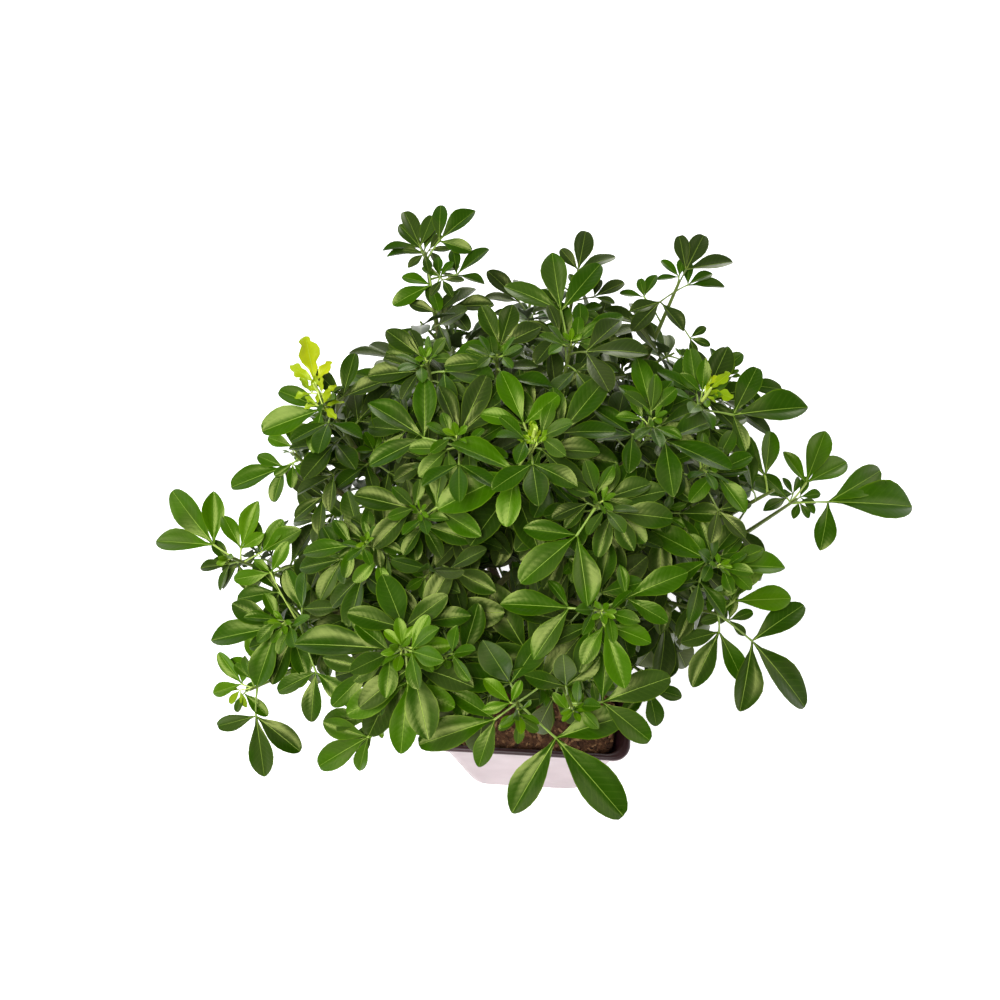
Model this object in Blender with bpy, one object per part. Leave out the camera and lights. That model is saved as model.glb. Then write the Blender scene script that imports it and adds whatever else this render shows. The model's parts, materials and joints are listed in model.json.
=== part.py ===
"""A potted Mexican orange, Choisya ternata: a bushy evergreen shrub in a rounded square plastic pot.

+Z is up, and the origin is the middle of the pot's underside, on the ground. The pot's sides
lie along X and Y, and the front, where the largest of the low leaves hang over the rim, faces -Y.
"""

import math
import random
from collections import namedtuple

import bmesh
import bpy
from mathutils import Vector, noise
from mathutils.bvhtree import BVHTree

MM = 0.001
UP = Vector((0.0, 0.0, 1.0))
SEAT_GAP = 0.3 * MM  # between one solid and the solid that carries it

# Pot: half widths across the flats, radius of the corners, and heights
POT_HEIGHT = 145 * MM
BASE_HALF = 60 * MM
RIM_HALF = 85 * MM
CORNER_RADIUS = 15 * MM
WALL = 1.6 * MM
LIP_WIDTH = 4.5 * MM
LIP_HEIGHT = 6 * MM
FLOOR = 2.4 * MM
CORNER_STEPS = 4
DRAIN_RADIUS = 5 * MM
DRAIN_OFFSET = 34 * MM

# Root ball
SOIL_TOP = 131 * MM
SOIL_SHOULDER = 10 * MM
SOIL_SLACK = 5 * MM  # between the top of the shrunken root ball and the pot's wall
CLOD = 2.6 * MM
TRUNK_HOLE_DEPTH = 40 * MM

# Wood
TRUNK_RADIUS = 8.5 * MM
LIMB_RADII = (5.2 * MM, 3.0 * MM)
BRANCH_RADII = (2.5 * MM, 1.9 * MM)
FORK_RISE = 16 * MM
LIMB_BEARINGS = (18, 70, 128, 182, 232, 282, 332)
LIMB_REACH = 60 * MM
LIMB_TOP = 325 * MM
LEADER_TOP = 385 * MM

# The view that the crown is laid out in, from the front and well above: 1000 across and 1000 down
VIEW_TURN = 3.5  # degrees to the left of straight ahead
VIEW_DOWN = 56.5  # degrees below level
VIEW_CENTRE = Vector((-33, 54.5, 319)) * MM
VIEW_DISTANCE = 940 * MM
VIEW_LENS = 1200
VIEW_MIDDLE = 500

# Crown: the egg that the shoot tips lie on, which stands a little behind and left of the pot
CROWN_CENTRE = Vector((-32, 45, 330)) * MM
CROWN_RADII = Vector((245, 205, 185)) * MM

# Shoots
SHOOT_LENGTH = 58 * MM
SHOOT_RADII = (1.9 * MM, 1.1 * MM)
SEED = 20

# Leaves: three obovate leaflets from one joint
LEAFLET_LENGTHS = (15 * MM, 80 * MM)  # the shortest and the longest
SPREADS = (42, 92)  # the least and the most degrees from the middle leaflet to a side one
USUAL_SPREAD = 58
SIDE_SHARE = 0.9
WIDTH_SHARE = 0.43
BLADE = 0.8 * MM
STALK_WIDTH = 2.0 * MM
JOINT_RADIUS = 1.7 * MM
FOLD = math.radians(13)
ARCH_SHARE = 0.10
CLEARANCE = 1.6 * MM

Shoot = namedtuple("Shoot", "name place height lift leaves")
draw = random.Random(SEED)


def pairs(roll, size, count):
    """Leaves in crossed pairs down a shoot, the first pair pointing to the roll and the largest.

    Each leaf is its way round the shoot and its angle from it in degrees, the length of its middle
    leaflet, how far below the tip it leaves the stem and the length of its stalk in mm, and the
    degrees between its middle leaflet and each side one.
    """
    leaves = []
    for number in range(count):
        upper = number // 2
        around = roll + 90 * upper + 180 * (number % 2) + draw.uniform(-12, 12)
        angle = (68, 48)[upper] + draw.uniform(-8, 8)
        length = size * (1.0, 0.8)[upper] * draw.uniform(0.93, 1.07)
        stalk = length * (0.48, 0.38)[upper]
        leaves.append((around, angle, length, (34, 13)[upper], stalk, draw.uniform(52, 62)))
    return leaves


# Each shoot tip by its place in the view and its height in mm. Lift tilts the tip up from the
# crown's outward normal. Each leaf is four places in the view: its joint, and the tips of its right,
# middle and left leaflets, as seen from the joint. None is for a tip that is hidden.
# The way round a shoot in a row of pairs is 0 to the right and 90 to the back.
SHOOTS = (
    Shoot(
        "front_low", (518, 709), 380, 0.5,
        (
            ((556, 738), (512, 813), (624, 815), (627, 716)),
            ((495, 719), (450, 692), (419, 746), (479, 767)),
            ((511, 703), (521, 681), (484, 679), (483, 710)),
            ((538, 688), (590, 671), (579, 637), (532, 640)),
        ),
    ),
    Shoot(
        "right_far", (797, 499), 345, 1.5,
        (
            ((828, 502), (822, 535), (918, 506), (880, 470)),
            ((806, 483), (848, 462), (826, 431), (783, 451)),
            ((787, 498), (761, 478), (740, 481), (763, 511)),
        ),
    ),
    Shoot(
        "right_low", (722, 615), 345, 0.7,
        (
            ((752, 641), (741, 712), (804, 707), (804, 605)),
            ((719, 632), (680, 643), (692, 688), (742, 681)),
            ((734, 601), (791, 598), None, (716, 576)),
        ),
    ),
    Shoot(
        "left_far", (232, 558), 340, 1.5,
        (
            ((214, 545), (213, 491), (173, 490), (155, 541)),
            ((241, 549), (264, 533), (259, 501), (223, 516)),
            ((230, 564), None, (200, 568), (220, 591)),
            ((262, 552), (301, 527), (284, 519), None),
        ),
    ),
    Shoot(
        "left_low", (250, 690), 240, 0.9,
        (
            ((256, 716), (218, 727), (265, 777), (300, 752)),
            ((242, 684), (246, 662), (219, 652), (213, 693)),
            ((260, 668), (298, 651), (250, 630), (229, 660)),
        ),
    ),
    Shoot(
        "back_left_tall", (425, 252), 510, 0.5,
        (
            ((439, 241), (472, 251), (476, 211), (440, 205)),
            ((420, 247), (433, 216), (404, 212), (382, 250)),
            ((457, 275), (485, 285), (489, 249), (453, 249)),
            ((431, 285), (402, 277), (393, 306), (439, 311)),
        ),
    ),
    Shoot(
        "back_right_tall", (680, 280), 488, 0.5,
        (
            ((686, 270), (733, 262), (704, 235), (679, 236)),
            ((688, 285), (725, 287), (713, 274), None),
            ((660, 302), (630, 313), (631, 331), (684, 331)),
            ((644, 297), (656, 275), (640, 279), (619, 294)),
        ),
    ),
    Shoot(
        "left_bright", (322, 397), 465, 0.8,
        (
            ((322, 409), (279, 390), (262, 432), (313, 453)),
            ((343, 397), (384, 381), (355, 353), None),
        ),
    ),
    Shoot(
        "right_bright", (702, 401), 480, 0.8,
        (
            ((733, 415), (739, 433), (808, 407), (757, 368)),
            ((697, 395), (690, 349), (657, 372), (656, 412)),
            ((704, 398), None, (749, 389), (728, 348)),
        ),
    ),
    Shoot(
        "middle_bright", (533, 440), 508, 0.6,
        (
            ((516, 471), (452, 444), (439, 510), (506, 526)),
            ((541, 449), (527, 486), (585, 495), (600, 452)),
            ((524, 424), (559, 395), (500, 371), (480, 414)),
            ((561, 433), (617, 432), (607, 378), (553, 387)),
        ),
    ),
    Shoot(
        "front_middle", (599, 503), 485, 0.5,
        (
            ((577, 535), (523, 529), (521, 584), (588, 606)),
            ((612, 512), (598, 557), (634, 551), (673, 518)),
            ((605, 499), (637, 510), (652, 484), (617, 463)),
            ((588, 503), None, (552, 518), (564, 527)),
        ),
    ),
    Shoot(
        "front_right", (601, 611), 440, 0.5,
        (
            ((604, 625), (582, 664), (626, 688), (651, 643)),
            ((626, 598), (668, 622), (688, 573), (621, 574)),
            ((569, 608), (548, 580), (500, 605), None),
        ),
    ),
    Shoot(
        "front_left", (402, 649), 412, 0.6,
        (
            ((408, 682), (347, 715), (401, 754), (455, 707)),
            ((388, 649), (358, 621), (294, 645), (363, 672)),
            ((421, 623), (471, 615), (450, 568), (397, 589)),
            ((411, 648), (432, 672), (451, 645), None),
            ((370, 668), None, (332, 707), None),
        ),
    ),
    Shoot(
        "front_edge", (572, 708), 384, 0.5,
        (((602, 702), (649, 741), (670, 677), (606, 648)),),
    ),
    Shoot(
        "back_middle", (574, 290), 500, 0.5,
        (
            ((578, 270), None, (585, 231), (561, 249)),
            ((594, 297), (611, 302), (624, 282), (600, 281)),
        ),
    ),
    Shoot(
        "top_middle", (571, 345), 508, 0.6,
        (
            ((561, 311), (600, 264), (552, 253), (504, 286)),
            ((581, 336), (625, 352), (623, 316), (580, 303)),
            ((560, 334), (548, 306), (515, 330), None),
            (-10, 58, 40, 10, 12, 60),
        ),
    ),
    Shoot(
        "left_hanging", (380, 722), 238, 0.8,
        (((368, 737), (323, 722), (318, 766), (359, 771)), (168, 58, 42, 8, 10, 55)),
    ),
    Shoot(
        "left_dark", (293, 453), 420, 0.8,
        (
            ((284, 467), (257, 456), (231, 488), (273, 502)),
            ((293, 447), (310, 428), None, (268, 437)),
            ((293, 464), None, (291, 488), None),
        ),
    ),
    Shoot(
        "right_back", (774, 490), 415, 0.8,
        (((765, 476), (770, 431), (728, 431), (738, 478)),),
    ),
    Shoot(
        "top_left", (457, 440), 505, 0.6,
        (
            ((448, 449), (409, 448), (419, 477), (450, 481)),
            ((424, 438), None, (367, 404), None),
            ((459, 435), (500, 401), (487, 376), (438, 386)),
            (-20, 56, 30, 10, 9, 58),
        ),
    ),
    Shoot(
        "top_right", (652, 420), 498, 0.6,
        (
            ((651, 410), (672, 380), (638, 357), (619, 386)),
            ((643, 419), None, (616, 416), (640, 441)),
            (-30, 60, 46, 20, 16, 58),
        ),
    ),
    Shoot(
        "top_back_left", (427, 362), 505, 0.6,
        (
            ((420, 371), (382, 362), (368, 377), (402, 400)),
            ((423, 358), (404, 333), (386, 330), None),
            (-20, 58, 40, 12, 14, 58),
        ),
    ),
    Shoot(
        "top_back", (497, 356), 515, 0.6,
        (
            ((500, 346), (541, 326), (512, 304), (481, 306)),
            ((494, 362), None, (466, 350), (445, 366)),
            (-60, 58, 38, 12, 12, 58),
        ),
    ),
    Shoot(
        "left_shoulder", (367, 543), 455, 0.7,
        (
            ((352, 546), (333, 520), (303, 553), (345, 578)),
            ((378, 559), None, (353, 582), None),
            ((373, 541), None, (405, 530), None),
        ),
    ),
    Shoot(
        "left_side", (286, 622), 372, 0.8,
        (
            ((277, 627), (232, 603), (211, 641), None),
            ((279, 592), None, (237, 599), None),
            ((271, 573), (288, 542), (254, 560), (234, 580)),
        ),
    ),
    Shoot(
        "right_shoulder", (706, 466), 470, 0.7,
        (
            ((715, 472), (689, 502), (745, 513), (752, 456)),
            ((698, 453), (705, 424), (655, 421), (672, 462)),
            ((715, 463), None, (733, 431), (709, 440)),
            ((718, 510), None, (746, 538), None),
        ),
    ),
    Shoot(
        "right_side", (717, 566), 420, 0.7,
        (
            ((726, 566), (751, 590), (785, 568), (764, 549)),
            ((719, 561), None, (742, 537), (711, 550)),
            ((708, 560), (689, 534), (652, 530), None),
        ),
    ),
    Shoot(
        "middle_left", (420, 513), 468, 0.6,
        (
            ((423, 525), (403, 555), (441, 558), (473, 541)),
            ((412, 509), (408, 487), (354, 496), None),
            (30, 58, 40, 12, 12, 58),
        ),
    ),
    Shoot(
        "lower_middle", (446, 656), 402, 0.5,
        (((462, 657), (485, 685), (532, 658), (478, 603)), (140, 58, 40, 12, 14, 58)),
    ),
    Shoot("back_shoulder_left", (402, 372), 435, 0.7, pairs(150, 44, 3)),
    Shoot(
        "back_shoulder_right", (728, 378), 442, 0.7,
        (
            ((744, 385), None, (782, 389), (757, 368)),
            ((721, 373), (743, 354), (728, 346), (710, 348)),
            (-60, 62, 36, 22, 16, 58),
        ),
    ),
    Shoot("back_low_left", (410, 350), 385, 0.8, pairs(130, 46, 3)),
    Shoot("back_low", (530, 300), 400, 0.8, pairs(75, 48, 3)),
    Shoot("back_low_right", (680, 360), 370, 0.8, pairs(40, 46, 3)),
    Shoot(
        "side_low_left", (306, 638), 330, 0.9,
        (
            ((305, 623), (320, 592), (304, 580), (281, 603)),
            ((331, 625), (349, 606), (328, 581), None),
            (200, 60, 40, 24, 16, 58),
        ),
    ),
    Shoot(
        "side_low_right", (688, 618), 270, 0.9,
        (*pairs(-40, 50, 2), ((664, 648), None, (671, 669), None)),
    ),
    Shoot("back_skirt_left", (450, 420), 290, 0.9, pairs(110, 48, 3)),
    Shoot("back_skirt_right", (630, 430), 280, 0.9, pairs(60, 48, 2)),
    Shoot(
        "back_skirt_side", (362, 404), 392, 0.9,
        (
            ((364, 419), (338, 453), (366, 465), (404, 432)),
            (170, 62, 38, 16, 14, 58),
            (60, 60, 38, 26, 18, 58),
        ),
    ),
    Shoot("right_skirt_back", (690, 505), 300, 0.9, pairs(15, 48, 2)),
    Shoot(
        "right_skirt", (650, 680), 265, 0.9,
        (((648, 688), None, (656, 726), None),),
    ),
    Shoot("left_skirt", (452, 694), 275, 0.9, pairs(250, 46, 3)),
)

# Bright young growth: the shoot that carries it, and its longest leaf in mm
YOUNG_TIPS = (("left_bright", 34), ("right_bright", 22), ("middle_bright", 18))
YOUNG_STUB = 15 * MM
YOUNG_BLADES = 5

# Blank plant label, standing in the root ball behind the front lip
LABEL_SIZE = (14 * MM, 1.0 * MM, 62 * MM)
LABEL_PLACE = Vector((-52, -67, 92)) * MM
LABEL_LEAN = 4  # degrees

Leaf = namedtuple("Leaf", "root joint normal reaches")


def turned(v, axis, degrees):
    """The vector turned about an axis."""
    a = math.radians(degrees)
    return v * math.cos(a) + axis.cross(v) * math.sin(a) + axis * axis.dot(v) * (1 - math.cos(a))


def square_to(v, axis):
    """The unit part of v that is square to a unit axis."""
    return (v - axis * v.dot(axis)).normalized()


def material(name, colour, roughness, metallic=0.0):
    """A plain finish, with its colour given as linear red, green and blue."""
    made = bpy.data.materials.new(name)
    made.use_nodes = True
    shader = made.node_tree.nodes["Principled BSDF"]
    shader.inputs["Base Color"].default_value = (*colour, 1.0)
    shader.inputs["Roughness"].default_value = roughness
    shader.inputs["Metallic"].default_value = metallic
    return made


def solid(name, points, faces, finish=None):
    """An object from a closed surface, with its faces turned outwards."""
    mesh = bpy.data.meshes.new(name)
    mesh.from_pydata([tuple(p) for p in points], [], faces)
    work = bmesh.new()
    work.from_mesh(mesh)
    bmesh.ops.recalc_face_normals(work, faces=work.faces)
    work.to_mesh(mesh)
    work.free()
    if finish:
        mesh.materials.append(finish)
    made = bpy.data.objects.new(name, mesh)
    bpy.context.scene.collection.objects.link(made)
    return made


def combine(target, others, operation, solver):
    """Applies one Boolean between the target and every solid in the list, and drops those solids."""
    group = bpy.data.collections.new(target.name + "_operands")
    bpy.context.scene.collection.children.link(group)
    for other in others:
        bpy.context.scene.collection.objects.unlink(other)
        group.objects.link(other)
    boolean = target.modifiers.new(operation.title(), "BOOLEAN")
    boolean.operation = operation
    boolean.operand_type = "COLLECTION"
    boolean.collection = group
    boolean.solver = solver
    graph = bpy.context.evaluated_depsgraph_get()
    mesh = bpy.data.meshes.new_from_object(target.evaluated_get(graph))
    target.modifiers.clear()
    target.data = mesh
    for other in others:
        bpy.data.objects.remove(other)
    bpy.data.collections.remove(group)


def shade_smooth(target, degrees=30):
    """Smooth faces, with the corners sharper than the angle kept."""
    target.data.shade_smooth()
    target.data.set_sharp_from_angle(angle=math.radians(degrees))


def tube(path, radii, sides, first=None, last=None):
    """Points and faces of a closed tube along a path, with its end faces square to first and last."""
    longer = [path[0]] + path + [path[-1]]
    tangents = [(after - before).normalized() for before, after in zip(longer, longer[2:])]
    tangents[0] = first or tangents[0]
    tangents[-1] = last or tangents[-1]
    across = square_to(Vector((0.31, 0.95, 0.05)), tangents[0])
    points, faces = [], []
    for place, tangent, radius in zip(path, tangents, radii):
        across = square_to(across, tangent)
        other = tangent.cross(across)
        for k in range(sides):
            angle = 2 * math.pi * k / sides
            points.append(place + (across * math.cos(angle) + other * math.sin(angle)) * radius)
    for i in range(len(path) - 1):
        for k in range(sides):
            j = (k + 1) % sides
            faces.append((i * sides + k, i * sides + j, (i + 1) * sides + j, (i + 1) * sides + k))
    faces.append(tuple(range(sides)))
    faces.append(tuple(range(len(points) - sides, len(points))))
    return points, faces


def curve(start, start_pull, end_pull, end, steps):
    """Points along a cubic curve between two places and the two handles that pull it."""
    found = []
    for i in range(steps + 1):
        t = i / steps
        s = 1 - t
        found.append(start * s**3 + start_pull * 3 * s * s * t + end_pull * 3 * s * t * t + end * t**3)
    return found


def tapered(ends, count):
    """Evenly changing radii between two ends."""
    return [ends[0] + (ends[1] - ends[0]) * i / (count - 1) for i in range(count)]


# Pot and root ball


def rounded_square(half, height, radius=CORNER_RADIUS):
    """One ring of points round a square with round corners."""
    ring = []
    for corner in range(4):
        turn = math.pi / 2 * corner
        for step in range(CORNER_STEPS):
            angle = turn + math.pi / 2 * step / (CORNER_STEPS - 1)
            centre = (half - radius) * math.sqrt(2)
            x = centre * math.cos(turn + math.pi / 4) + radius * math.cos(angle)
            y = centre * math.sin(turn + math.pi / 4) + radius * math.sin(angle)
            ring.append(Vector((x, y, height)))
    return ring


def circle(radius, height):
    """One ring with as many points as a rounded square has."""
    turns = [math.pi / 2 * k / CORNER_STEPS for k in range(4 * CORNER_STEPS)]
    return [Vector((radius * math.cos(a), radius * math.sin(a), height)) for a in turns]


def stack(rings):
    """Points and faces of a closed surface that runs through the rings, with both ends capped."""
    count = len(rings[0])
    points = [p for ring in rings for p in ring]
    faces = [tuple(range(count)), tuple(range(len(points) - count, len(points)))]
    for i in range(len(rings) - 1):
        for k in range(count):
            j = (k + 1) % count
            faces.append((i * count + k, i * count + j, (i + 1) * count + j, (i + 1) * count + k))
    return points, faces


def wall_half(height):
    """Half width of the pot's outer wall at a height."""
    return BASE_HALF + (RIM_HALF - LIP_WIDTH - BASE_HALF) * height / (POT_HEIGHT - LIP_HEIGHT)


def build_pot(finish):
    """The moulded pot: tapered wall, rolled lip, and a floor with drain holes."""
    lip_foot = POT_HEIGHT - LIP_HEIGHT
    profile = (
        (BASE_HALF - 3 * MM, 0.0),
        (wall_half(3 * MM), 3 * MM),
        (wall_half(lip_foot), lip_foot),
        (RIM_HALF - 0.6 * MM, lip_foot + 1 * MM),
        (RIM_HALF, POT_HEIGHT - 2 * MM),
        (RIM_HALF - 1.4 * MM, POT_HEIGHT),
        (RIM_HALF - LIP_WIDTH + 0.4 * MM, POT_HEIGHT),
        (wall_half(lip_foot) - WALL, POT_HEIGHT - 3 * MM),
        (wall_half(FLOOR) - WALL, FLOOR),
    )
    pot = solid("pot", *stack([rounded_square(half, z) for half, z in profile]), finish)
    drains = []
    for x, y in ((1, 1), (-1, 1), (-1, -1), (1, -1)):
        place = Vector((x * DRAIN_OFFSET, y * DRAIN_OFFSET, -5 * MM))
        path = [place, place + UP * 15 * MM]
        drains.append(solid("drain", *tube(path, [DRAIN_RADIUS] * 2, 10, UP, UP)))
    combine(pot, drains, "DIFFERENCE", "EXACT")
    shade_smooth(pot)


def build_soil(finish):
    """The root ball: shrunk from the wall at its top, cloddy, and with room for what stands in it."""
    hole = (TRUNK_RADIUS + SEAT_GAP) / math.cos(math.pi / (4 * CORNER_STEPS))
    half_at_top = wall_half(SOIL_TOP) - WALL - SOIL_SLACK
    rings = [circle(hole, z) for z in (SOIL_TOP - TRUNK_HOLE_DEPTH, SOIL_TOP)]
    for half, radius in ((20, 18), (32, 24), (43, 25), (53, 23), (62, 19)):
        rings.append(rounded_square(half * MM, SOIL_TOP, radius * MM))
    for step in (0.15, 0.5, 0.85):
        angle = math.pi / 2 * step
        half = half_at_top - SOIL_SHOULDER * (1 - math.sin(angle))
        rings.append(rounded_square(half, SOIL_TOP - SOIL_SHOULDER * (1 - math.cos(angle))))
    for ring in rings[2:]:
        for point in ring:
            lump = noise.noise(point * 85) + 0.6 * noise.noise(point * 190)
            point.z += CLOD * lump
            point.xy = point.xy * (1 + 0.012 * noise.noise(point * 140 + UP))
    below = SOIL_TOP - 42 * MM
    rings.append(rounded_square(wall_half(below) - WALL - 2 * SEAT_GAP, below))
    low = FLOOR + SEAT_GAP
    rings.append(rounded_square(wall_half(low) - WALL - 2 * SEAT_GAP, low))
    soil = solid("root_ball", *stack(rings), finish)
    combine(soil, [solid("slot", *label_box(2 * SEAT_GAP))], "DIFFERENCE", "EXACT")
    shade_smooth(soil, 60)


def label_box(grown):
    """Corners and faces of the label, made larger by grown all round."""
    half = [size / 2 + grown for size in LABEL_SIZE]
    middle = LABEL_PLACE + UP * LABEL_SIZE[2] / 2
    points = []
    for k in range(8):
        x = half[0] if k & 1 else -half[0]
        y = half[1] if k & 2 else -half[1]
        z = half[2] if k & 4 else -half[2]
        points.append(middle + turned(Vector((x, y, z)), Vector((1, 0, 0)), LABEL_LEAN))
    faces = [(0, 1, 3, 2), (4, 5, 7, 6), (0, 1, 5, 4), (2, 3, 7, 6), (0, 2, 6, 4), (1, 3, 7, 5)]
    return points, faces


# Where the wood and the shoots run


def sight_line(place):
    """The eye, and the direction from it through a place in the view."""
    turn, down = math.radians(VIEW_TURN), math.radians(VIEW_DOWN)
    right = Vector((math.cos(turn), math.sin(turn), 0.0))
    level = Vector((-math.sin(turn), math.cos(turn), 0.0))
    ahead = level * math.cos(down) - UP * math.sin(down)
    above = level * math.sin(down) + UP * math.cos(down)
    way = ahead * VIEW_LENS + right * (place[0] - VIEW_MIDDLE) + above * (VIEW_MIDDLE - place[1])
    return VIEW_CENTRE - ahead * VIEW_DISTANCE, way.normalized()


def seen_on(place, point, face):
    """Where the sight line through a place in the view meets the plane through a point."""
    eye, way = sight_line(place)
    return eye + way * ((point - eye).dot(face) / way.dot(face))


def tip_of(shoot):
    """The place of a shoot's tip."""
    return seen_on(shoot.place, UP * shoot.height * MM, UP)


def outward(point):
    """The crown's outward normal at a point."""
    away = point - CROWN_CENTRE
    return Vector([away[i] / CROWN_RADII[i] ** 2 for i in range(3)]).normalized()


def axis_of(shoot):
    """The direction that a shoot grows in: out of the crown, turned up by its lift."""
    return (outward(tip_of(shoot)) + UP * shoot.lift).normalized()


def fork_place():
    """Where the trunk parts into its limbs, just above the soil."""
    return Vector((-4 * MM, 6 * MM, SOIL_TOP + FORK_RISE))


def limb_paths():
    """The limbs' centre lines, from the fork out and up, with the leader in the middle."""
    fork = fork_place()
    paths = []
    for bearing in LIMB_BEARINGS:
        angle = math.radians(bearing)
        out = Vector((math.cos(angle), math.sin(angle), 0.0))
        head = Vector((CROWN_CENTRE.x, CROWN_CENTRE.y, LIMB_TOP)) + out * LIMB_REACH
        pull = fork + out * 34 * MM + UP * 40 * MM
        paths.append(curve(fork, pull, head - UP * 70 * MM + out * 6 * MM, head, 5))
    top = Vector((CROWN_CENTRE.x, CROWN_CENTRE.y - 10 * MM, LEADER_TOP))
    paths.append(curve(fork, fork + UP * 80 * MM, top - UP * 90 * MM, top, 5))
    return paths


def branch_path(shoot, limbs):
    """The centre line of the branch that carries a shoot, from the nearest good place on a limb."""
    axis = axis_of(shoot)
    seat = tip_of(shoot) - axis * (SHOOT_LENGTH + SEAT_GAP)
    best = None
    for path in limbs:
        for i in range(2, len(path)):
            place = path[i]
            cost = (place - seat).length + 1.6 * max(0.0, place.z + 20 * MM - seat.z)
            if best is None or cost < best[0]:
                best = (cost, place, (path[i] - path[i - 1]).normalized())
    start, along = best[1], best[2]
    span = (seat - start).length
    out = square_to(seat - start, along) if span > 1 * MM else along
    pull = start + (along * 0.5 + out * 0.7).normalized() * span * 0.35
    return curve(start, pull, seat - axis * span * 0.35, seat, 3)


# Leaves


def axes_round(axis):
    """Two directions square to a shoot's axis: right and back, as seen from the front."""
    back = square_to(Vector((0.0, 0.9, 0.4)), axis)
    return back.cross(axis), back


def fan(ahead, normal, lengths, spreads, droop=0.0):
    """The reaches of three leaflets, from the joint to their tips, from right to left."""
    reaches = []
    for turn, length in zip((-spreads[0], 0, spreads[1]), lengths):
        reaches.append((turned(ahead, normal, turn) - normal * droop).normalized() * length)
    return reaches


def seen_leaf(shoot, marks):
    """A leaf from its marks in the view, in a plane that faces out of the crown, up and to the front."""
    joint_mark, *tip_marks = marks
    tip, axis = tip_of(shoot), axis_of(shoot)
    away = sight_line(shoot.place)[1]
    face = (outward(tip) * 0.7 + UP * 0.4 - away * 0.9).normalized()
    joint = seen_on(joint_mark, tip - axis * 10 * MM, face)
    right, middle, left = [mark and seen_on(mark, joint, face) - joint for mark in tip_marks]
    if middle is None:
        middle = (right.normalized() + left.normalized()).normalized() * max(right.length, left.length)
    shortest, longest = LEAFLET_LENGTHS
    length = min(max(middle.length, shortest), longest)
    lengths, spreads = [], []
    for side in (right, left):
        wanted = side.length if side else length * SIDE_SHARE
        lengths.append(min(max(wanted, shortest, length * 0.5), longest))
        spread = math.degrees(middle.angle(side)) if side else USUAL_SPREAD
        spreads.append(min(max(spread, SPREADS[0]), SPREADS[1]))
    lengths.insert(1, length)
    ahead = middle.normalized()
    roots = [tip - axis * drop * MM for drop in range(4, 40, 3)]
    root = max(roots, key=lambda place: (joint - place).normalized().dot(ahead) - 8 * (joint - place).length)
    return Leaf(root, joint, face, fan(ahead, face, lengths, spreads))


def paired_leaf(shoot, sizes):
    """A leaf of a crossed pair, from its sizes."""
    around, angle, length, drop, stalk, spread = sizes
    axis = axis_of(shoot)
    right, back = axes_round(axis)
    out = right * math.cos(math.radians(around)) + back * math.sin(math.radians(around))
    lean = math.radians(angle)
    stalk_way = axis * math.cos(lean) + out * math.sin(lean)
    root = tip_of(shoot) - axis * drop * MM
    joint = root + stalk_way * stalk * MM
    ahead = (stalk_way - axis * 0.10 - UP * 0.06).normalized()
    normal = square_to(square_to(axis, ahead) + UP * 0.35, ahead)
    lengths = [length * share * MM for share in (SIDE_SHARE, 1.0, SIDE_SHARE)]
    return Leaf(root, joint, normal, fan(ahead, normal, lengths, (spread, spread), 0.15))


def bent(leaf, shoot, push, sway, rise, shrink):
    """The leaf moved a little out of the way: back by push in mm, and swung round its shoot by sway
    and up towards the tip by rise in degrees."""
    axis = axis_of(shoot)
    stalk = leaf.joint - leaf.root
    hinge = square_to(stalk, axis).cross(axis)
    moved = [turned(turned(v, hinge, rise), axis, sway) for v in (stalk, leaf.normal, *leaf.reaches)]
    stalk, normal, *reaches = moved
    joint = leaf.root + stalk + sight_line(shoot.place)[1] * push * MM
    return Leaf(leaf.root, joint, normal, [reach * shrink for reach in reaches])


def width_at(u):
    """Half width of a leaflet at a share of its length, of a full width of 1: widest past the middle."""
    return 0.5 * math.sin(math.pi * min(u, 1.0) ** 1.45) ** 0.85


def leaflet_frames(leaf):
    """Base, direction, side, normal and length of the leaf's three leaflets, from right to left."""
    frames = []
    for reach in leaf.reaches:
        ahead = reach.normalized()
        normal = square_to(leaf.normal, ahead)
        frames.append((leaf.joint, ahead, normal.cross(ahead), normal, reach.length))
    return frames


def blade_point(frame, u, v):
    """A point of a leaflet: u runs from base to tip, and v from the right edge to the left."""
    base, ahead, side, normal, length = frame
    half = width_at(u) * WIDTH_SHARE * length * v
    rise = abs(half) * math.sin(FOLD) + ARCH_SHARE * length * u * (1 - u)
    return base + ahead * length * u + side * half * math.cos(FOLD) + normal * rise


# A leaflet's outline runs from the right of its base round the tip to the left of its base
BLADE_TRIANGLES = ((0, 1, 3), (1, 2, 3), (0, 3, 6), (6, 3, 5), (5, 3, 4))


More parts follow.
